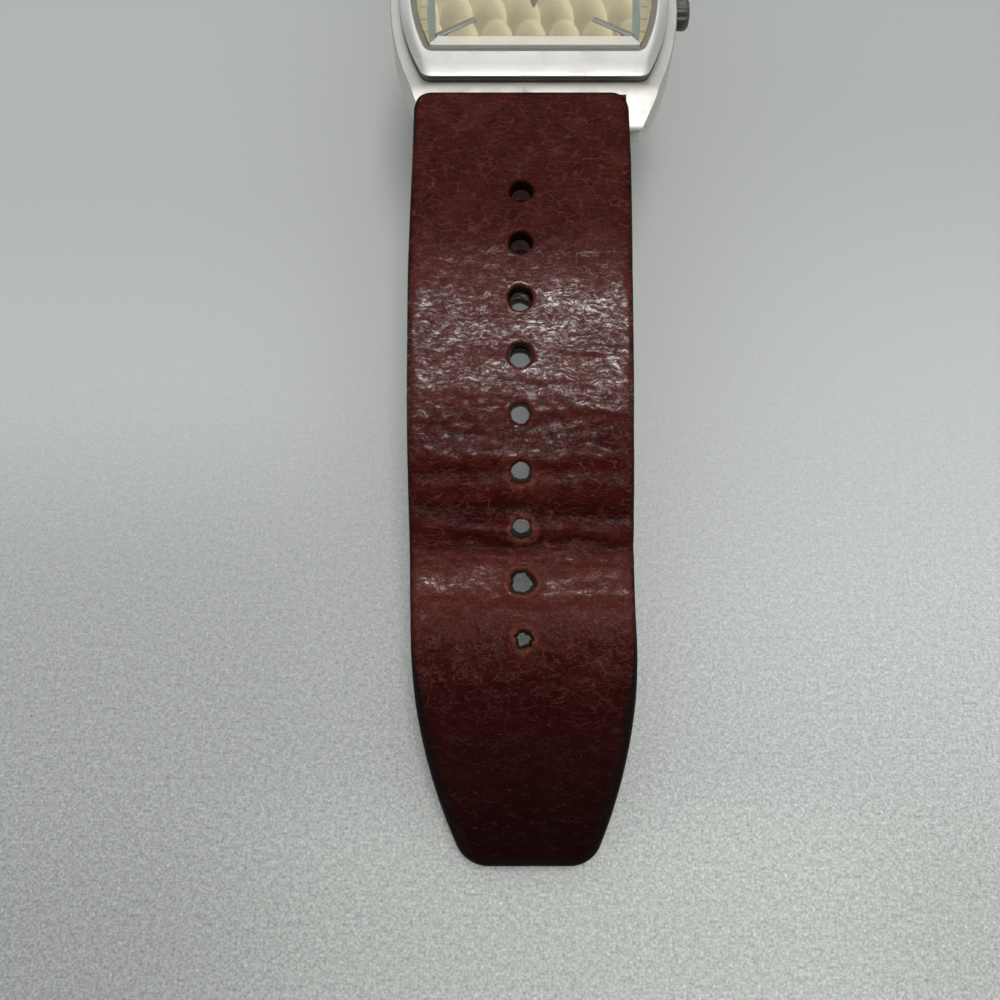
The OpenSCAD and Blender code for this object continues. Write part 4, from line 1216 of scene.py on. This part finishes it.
def makeBezel(material, shaded):
    # Rings go up the outer side, over the sloping top and down the window's side
    form, window = head["bezel"], head["window"]
    base, rim = head["caseHeight"], barrelOutline(head["bezel"])
    most, reach, power = head["slope"]

    def slopeRing(line, below=0.0):
        # The top falls towards the rim: the drop grows as a power of the nearness to the rim
        gap = np.hypot(*(line - rim).T)
        drop = most * np.clip(1 - gap / reach, 0, 1) ** power
        return np.column_stack([line, backLevel + bezelTop - drop - below])

    rings = levelRings(form, (
        (0.5, base), (0.5, base + 0.29), (0.35, base + 0.36), (0.08, base + 0.39),
        (0.0, base + 0.45), (0.0, bezelTop - 0.52), (0.02, bezelTop - 0.46),
        (0.06, bezelTop - 0.425)))
    outer, inner = barrelOutline(form, 0.12), barrelOutline(window, -0.2)
    rings += [slopeRing(outer + (inner - outer) * t) for t in np.linspace(0, 1, 9)]
    rings += [slopeRing(barrelOutline(window, inset), below) for inset, below in (
        (-0.15, 0.02), (-0.03, 0.13), (0.0, 0.19))]
    rings += levelRings(window, [(0.0, base - 0.3)])
    rings += levelRings(head["dial"], [(0.0, base - 0.3), (0.0, base)])
    piece = headPiece("bezelFrame", rings, material, "bezel", sharp=50)
    # Painted shade: the upright side over the groove gets a darker copy of the steel than the top
    heights = faceValues(piece, "center")[:, 2] / mm - backLevel
    secondMaterial(piece, shaded, heights < bezelTop - 0.5)


def makeCrystal(material, ground):
    # A stack of outlines: upright side, small round edge, ground bevel, flat top
    form, seal, top = head["window"], head["seal"], bezelTop
    levels = [(seal + 0.05, 9.4), (seal, 9.45), (seal, top + 0.2), (seal + 0.03, top + 0.245),
              (seal + 0.1, top + 0.27), (seal + 1.2, top + 0.435), (seal + 1.3, top + 0.45)]
    piece = headPiece("crystalGlass", levelRings(form, levels), material, "crystal",
                      capped=True, sharp=25)
    # The ground bevel shows at the two ends only; its whitish colour is painted reflection
    heights = faceValues(piece, "center")[:, 2] / mm - backLevel
    facing = np.abs(faceValues(piece, "normal"))
    secondMaterial(piece, ground, (heights > 9.5) & (heights < top + 0.43)
                   & (facing[:, 1] > facing[:, 0]))


def makeDialRing(material):
    # A low wall inside the window, with its inner upper edge softened
    form = head["window"]
    low, high = 8.3, 9.38
    levels = [(0.05, low), (0.05, high), (0.72, high), (0.78, high - 0.05), (0.93, low + 0.04),
              (0.95, low)]
    headPiece("dialFlange", levelRings(form, levels), material, "dial_ring",
              sharp=30)


# Dial: overlapping scales pressed into the plate, with tracks and ticks at the sides

dial = {
    "scaleWidth": 4.25,
    "rowHeight": 4.4,
    "rowShift": -4.2,          # height along the dial at which row 0's scales touch
    "sideShift": 2.91,
    "rowStep": 0.87,           # every second row is moved this far to the right
    "arch": 4.4,
    "stepHeight": 0.06,
    "cell": 0.11,
    "trackFrom": 12.57,
    "trackTo": 13.52,
    "trackBend": 0.0106,       # the tracks draw together by this times the length squared
    "tick": 2.05,
    "sizeX": 16.2,
    "sizeY": 11.6,
}


def scaleField(x, y):
    # How far each place lies below its scale's rim, and beside its middle. Row j's scales are
    # arches that touch at the row shift plus j times the row height, and rise by the arch height
    # times sqrt(1 - (2 dx / width) squared); lower rows lie on top.
    width, rise, arch = dial["scaleWidth"], dial["rowHeight"], dial["arch"]
    bare = np.full(x.shape, True)
    gapTop, side = np.zeros_like(x), np.zeros_like(x)
    for row in range(-3, 5):
        shift = dial["sideShift"] + (row % 2) * dial["rowStep"]
        dx = (x - shift + width / 2) % width - width / 2
        top = dial["rowShift"] + row * rise + arch * np.sqrt(np.maximum(
            1 - (2 * dx / width) ** 2, 0))
        inside = (y < top) & bare
        bare[inside] = False
        gapTop[inside] = (top - y)[inside]
        side[inside] = dx[inside]
    return gapTop, side


def makeDial(material):
    # Height = step height times (rise at a scale's rim - 0.6 times the slope to its foot); the
    # scales' light and shade are painted as a tone; tracks and ticks at the sides are only coloured
    sizeX, sizeY, cell = dial["sizeX"], dial["sizeY"], dial["cell"]
    rows = int(2 * sizeY / cell)
    y = np.linspace(-sizeY, sizeY, rows + 1)
    line = barrelOutline(head["dial"])
    right = line[line[:, 0] > 0]
    right = right[np.argsort(right[:, 1])]
    reach = np.interp(y, right[:, 1], right[:, 0])
    u = np.linspace(-1, 1, int(2 * sizeX / cell) + 1)
    x = u[None] * reach[:, None]
    yy = np.broadcast_to(y[:, None], x.shape)
    gapTop, side = scaleField(x, yy)
    width = dial["scaleWidth"]
    # A scale is highest at its rim and slopes down to its foot. Painted shade: its tone is darker
    # at its left side and towards its foot, paler at its right and top
    rim = np.minimum(gapTop, (width / 2 - np.abs(side)) * 1.2)
    height = dial["stepHeight"] * (smoothStep(rim / 0.12) - 0.6 * smoothStep(gapTop / 4.0))
    shade = np.clip((side / width + 0.5), 0, 1)
    tone = np.clip(0.62 * smoothStep((shade - 0.1) / 0.85) + 0.6 * np.clip(
        1 - gapTop / 4.0, 0, 1) - 0.12, 0, 1)
    apart = np.abs(x) + dial["trackBend"] * yy ** 2
    track = smoothStep((apart - dial["trackFrom"]) / 0.12) * smoothStep(
        (dial["trackTo"] - apart) / 0.12)
    beyond = smoothStep((apart - dial["trackFrom"]) / 0.15)
    tone = tone * (1 - beyond) + 0.45 * beyond
    height = height * (1 - beyond) + 0.03 * beyond
    tickGap = np.abs((yy + dial["tick"] / 2) % dial["tick"] - dial["tick"] / 2)
    ticks = smoothStep((0.16 - tickGap) / 0.08) * smoothStep(
        (apart - dial["trackTo"] + 0.1) / 0.1) * smoothStep(
        (dial["trackTo"] + 0.75 - apart) / 0.1)
    blue = np.maximum(track, ticks)
    top = dialTop - 0.10 + height
    count = x.size
    index = np.arange(count).reshape(x.shape)
    quads = np.stack([index[:-1, :-1], index[:-1, 1:], index[1:, 1:], index[1:, :-1]], -1)
    border = gridBorder(index)
    upper = np.stack([x, yy, top], -1).reshape(-1, 3)
    lower = upper[border] * [1, 1, 0] + [0, 0, dialTop - 0.5]
    wall = count + np.arange(len(border))
    sides = np.stack([border, wall, np.roll(wall, -1), np.roll(border, -1)], 1)
    places = np.concatenate([upper, lower])
    mesh, _ = newMesh("dialPlate", places, [quads.reshape(-1, 4), sides], recalculate=False)
    more = np.zeros(len(border))
    addValues(mesh, "paintedScaleShade", np.concatenate([tone.ravel(), more + 1]))
    addValues(mesh, "blueTrack", np.concatenate([blue.ravel(), more]))
    addPiece("dialPlate", mesh, material, "case", ["dial"])


# Crown: a turned knob with scooped flutes; radius = profile minus depth times a rounded wave

crown = {
    "from": 17.7,
    "height": 5.5,
    "flutes": 10,
    "depth": 0.22,
}


def makeCrown(material):
    # Radius = profile - flute depth times |cos(angle times half the flutes)| cubed, faded out
    # towards the axis
    profile = np.array([(0.0, 0.0), (0.0, 1.3), (0.0, 1.74), (0.05, 1.84), (0.16, 1.95),
                        (0.3, 2.0), (0.8, 2.0), (1.5, 2.0), (2.0, 2.0), (2.2, 1.97),
                        (2.38, 1.88), (2.5, 1.75), (2.58, 1.55), (2.62, 1.25), (2.64, 0.8),
                        (2.65, 0.4), (2.65, 0.02)])
    angle = np.linspace(0, 2 * math.pi, 241)[:-1]
    scoop = np.abs(np.cos(angle * crown["flutes"] / 2)) ** 3
    share = smoothStep((profile[:, 1] - 1.5) / 0.4)
    radius = profile[:, 1:2] - crown["depth"] * scoop[None] * share[:, None]
    x = np.broadcast_to(crown["from"] + profile[:, :1], radius.shape)
    places = np.stack([x, radius * np.cos(angle), backLevel + crown["height"]
                       + radius * np.sin(angle)], -1)
    rings = list(places)
    count = len(angle)
    fan = np.arange(count)
    low = np.stack([np.roll(fan, -1), fan, np.full(count, len(rings) * count)], 1)
    high = np.stack([fan, np.roll(fan, -1), np.full(count, len(rings) * count + 1)], 1)
    high[:, :2] += (len(rings) - 1) * count
    ends = np.array([[x[0, 0], 0, backLevel + crown["height"]],
                     [x[-1, 0], 0, backLevel + crown["height"]]])
    mesh, _ = newMesh("crownKnob", np.concatenate(rings + [ends]),
                      [joinRings(rings), low, high])
    mesh.set_sharp_from_angle(angle=math.radians(50))
    addPiece("crownKnob", mesh, material, "crown_body", ["crown"])


def softCopy(node, name, material, body, width, segments=3, angle=28):
    # A copy of a CAD node's mesh with flat faces joined and its edges rounded by a bevel
    source = frame["nodes"][node]
    mesh = source.data.copy()
    mesh.transform(source.matrix_world)
    mesh.materials.clear()
    reshape(mesh, lambda shell: bmesh.ops.remove_doubles(shell, verts=shell.verts, dist=2e-6),
            lambda shell: bmesh.ops.dissolve_limit(shell, angle_limit=math.radians(1.0),
                                                   verts=shell.verts, edges=shell.edges))
    mesh.polygons.foreach_set("use_smooth", np.full(len(mesh.polygons), True))
    mesh.name = name
    piece = addPiece(name, mesh, material, body, [node])
    rounding = piece.modifiers.new("roundEdges", "BEVEL")
    rounding.width, rounding.segments = width * mm, segments
    rounding.limit_method, rounding.angle_limit = "ANGLE", math.radians(angle)
    rounding.use_clamp_overlap = True
    even = piece.modifiers.new("evenNormals", "WEIGHTED_NORMAL")
    even.keep_sharp = True
    return piece


# Finishes

def makeSteelGroup():
    # Fine scratches along one axis, sparse long scratches, and soft worn patches
    group, given, end = newGroup("workedSteel", {"Place": "vector", "Stretch": "vector",
                                                 "Worn": "value", "Colour": "colour"},
                                 {"Colour": "colour", "Roughness": "value", "Height": "value"})
    place = given["Place"]
    satin = noise(vectorCalc("MULTIPLY", place, given["Stretch"]), 1.0, 3.0, 0.6)
    soft = noise(place, 260.0, 3.0, 0.55)
    scratch = cellEdges(stretched(place, (420, 90, 420), (0.2, 0.1, 0.7)))
    line = times(remap(scratch, 0.03, 0.0), remap(soft, 0.5, 0.7))
    dull = times(remap(soft, 0.42, 0.7), given["Worn"])
    colour = blendColours(times(dull, 0.5), given["Colour"], (0.46, 0.44, 0.40))
    rough = plus(times(satin, 0.16), times(dull, 0.15), times(line, 0.15), 0.44)
    for key, value in (("Colour", colour), ("Roughness", rough),
                       ("Height", plus(satin, times(line, -0.6)))):
        group.links.new(value, end[key])
    return group


def makeSteel(name, group, colour, stretch, worn):
    # Steel of one colour, scratched along the axis with the smallest stretch
    material, tree, shader = newMaterial(name, colour, 0.3, 1.0)
    out = placeGroup(tree, group, Place=objectPlace(tree), Stretch=stretch, Worn=worn,
                     Colour=(*colour, 1.0))
    tree.links.new(out["Colour"], shader.inputs["Base Color"])
    tree.links.new(out["Roughness"], shader.inputs["Roughness"])
    bump(tree, shader, out["Height"], 0.000002, 0.5)
    return material


def makeGlass():
    # Clear glass that lets lamps through: its shadow rays pass as through a thin clear film
    material, tree, shader = newMaterial("crystalGlass", (0.97, 0.985, 0.98), 0.03)
    shader.inputs["Transmission Weight"].default_value = 1.0
    shader.inputs["IOR"].default_value = 1.38
    clear = addNode(tree, "ShaderNodeBsdfTransparent", {"Color": (0.94, 0.96, 0.95, 1.0)})
    shadow = tree.nodes.new("ShaderNodeLightPath").outputs["Is Shadow Ray"]
    mix = addNode(tree, "ShaderNodeMixShader", {0: shadow, 1: shader.outputs[0],
                                                2: clear.outputs[0]})
    tree.links.new(mix.outputs[0], tree.nodes["Material Output"].inputs["Surface"])
    return material


def makeGroundGlass():
    # The ground bevel is rough and lets some of the dial's colour through; its whitish colour is
    # painted reflection
    material, tree, shader = newMaterial("groundGlass", (0.82, 0.80, 0.72), 0.5)
    shader.inputs["Transmission Weight"].default_value = 0.45
    tree.links.new(remap(noise(objectPlace(tree), 700.0), 0.3, 0.7, 0.38, 0.6),
                   shader.inputs["Roughness"])
    return material


# deep, mid and pale are the scales' painted shade and light; deep also darkens the fine grain
dialLook = {"deep": (0.150, 0.118, 0.048), "mid": (0.235, 0.190, 0.095),
            "pale": (0.385, 0.320, 0.185), "blue": (0.07, 0.095, 0.08)}


def makeDialPaint():
    # The scales' painted shading leads from deep through mid to pale; fine grain and blue tracks on
    # top
    material, tree, shader = newMaterial("creamDial", dialLook["mid"], 0.5)
    shader.inputs["Specular IOR Level"].default_value = 0.3
    tone = attribute(tree, "paintedScaleShade")
    grain = noise(objectPlace(tree), 900.0, 3.0, 0.6)
    colour = dialLook["deep"]
    for amount, key in ((remap(tone, 0.0, 0.45), "mid"), (remap(tone, 0.4, 1.0), "pale"),
                        (times(grain, 0.10), "deep"), (attribute(tree, "blueTrack"), "blue")):
        colour = blendColours(amount, colour, dialLook[key])
    tree.links.new(colour, shader.inputs["Base Color"])
    bump(tree, shader, grain, 0.000002, 0.25)
    return material


def makePlain(name, colour, roughness, metallic=0.0):
    # One colour with a soft mottle and an uneven gloss
    material, tree, shader = newMaterial(name, colour, roughness, metallic)
    cloud = noise(objectPlace(tree), 500.0, 3.0, 0.6)
    shaded = blendColours(times(remap(cloud, 0.35, 0.7), 0.15), colour, darker(colour, 0.4))
    tree.links.new(shaded, shader.inputs["Base Color"])
    tree.links.new(plus(times(cloud, 0.1), roughness - 0.05), shader.inputs["Roughness"])
    return material


shortRunDone, shortLength = makeShortStrap(leather, liningLeather)
makeKeeper("fixedKeeper", shortRunDone, shortLength - keepers["fixedBack"], leather,
           "strap_short", "fixed_keeper")
makeKeeper("slidingKeeper", shortRunDone, shortLength - keepers["slidingBack"], leather,
           "keeper", "sliding_keeper")
print("short strap half done")

steelGroup = makeSteelGroup()
caseSteel = makeSteel("caseSteel", steelGroup, (0.60, 0.59, 0.555), (3000, 260, 260), 0.5)
bezelSteel = makeSteel("bezelSteel", steelGroup, (0.80, 0.79, 0.76), (260, 3000, 260), 0.35)
# Painted shade: the crown's steel is made nearly black, for its shaded underside
crownShadeSteel = makeSteel("crownShadeSteel", steelGroup, (0.085, 0.08, 0.07), (260, 2600, 2600), 0.8)
buckleSteel = makeSteel("buckleSteel", steelGroup, (0.66, 0.65, 0.63), (900, 500, 900), 0.6)
smallSteel = makeSteel("smallSteel", steelGroup, (0.56, 0.56, 0.55), (500, 500, 2500), 0.4)
handSteel = makeSteel("handSteel", steelGroup, (0.17, 0.135, 0.07), (700, 700, 700), 0.2)
markerSteel = makeSteel("markerSteel", steelGroup, (0.115, 0.11, 0.09), (700, 700, 700), 0.2)
# The bezel's upright side takes a darker copy of the steel as painted shade
makeBezel(bezelSteel, makeSteel("paintedShadeSteel", steelGroup, (0.19, 0.18, 0.17),
                                (260, 260, 2500), 0.2))
makeCrystal(makeGlass(), makeGroundGlass())
makeDialRing(smallSteel)
makeDial(makeDialPaint())
makeCrown(crownShadeSteel)
softCopy("case_middle", "caseMiddle", caseSteel, "case", 0.14, angle=48)
softCopy("case_back", "caseBack", caseSteel, "case", 0.1, 2)
softCopy("buckle_frame", "buckleFrame", buckleSteel, "buckle", 0.3, 4)
softCopy("buckle_tongue", "buckleTongue", buckleSteel, "tongue", 0.12, 2)
print("watch head done")

plain = {
    "seal": makePlain("crystalSeal", (0.17, 0.16, 0.125), 0.55),
    "rubber": makePlain("blackRubber", (0.018, 0.018, 0.017), 0.6),
    "plastic": makePlain("holderPlastic", (0.03, 0.03, 0.032), 0.5),
    "brass": makePlain("brassWorks", (0.62, 0.45, 0.19), 0.3, 1.0),
    "copper": makePlain("coilWire", (0.48, 0.19, 0.09), 0.35, 1.0),
    "green": makePlain("circuitGreen", (0.012, 0.085, 0.045), 0.45),
}
finishOf = {
    "black_rubber": plain["rubber"], "holder_plastic": plain["plastic"],
    "brass": plain["brass"], "coil_wire": plain["copper"], "circuit_green": plain["green"],
    "crystal_seal": plain["seal"], "marker_steel": markerSteel, "hand_steel": handSteel,
    "movement_steel": smallSteel, "screw_steel": smallSteel, "bar_steel": smallSteel,
}
for part in frame["record"]["subparts"]:
    if part["material_slot"] in finishOf:
        for place in frame["nodes"][part["node"]].material_slots:
            place.link = "OBJECT"
            place.material = finishOf[part["material_slot"]]
print("works done")
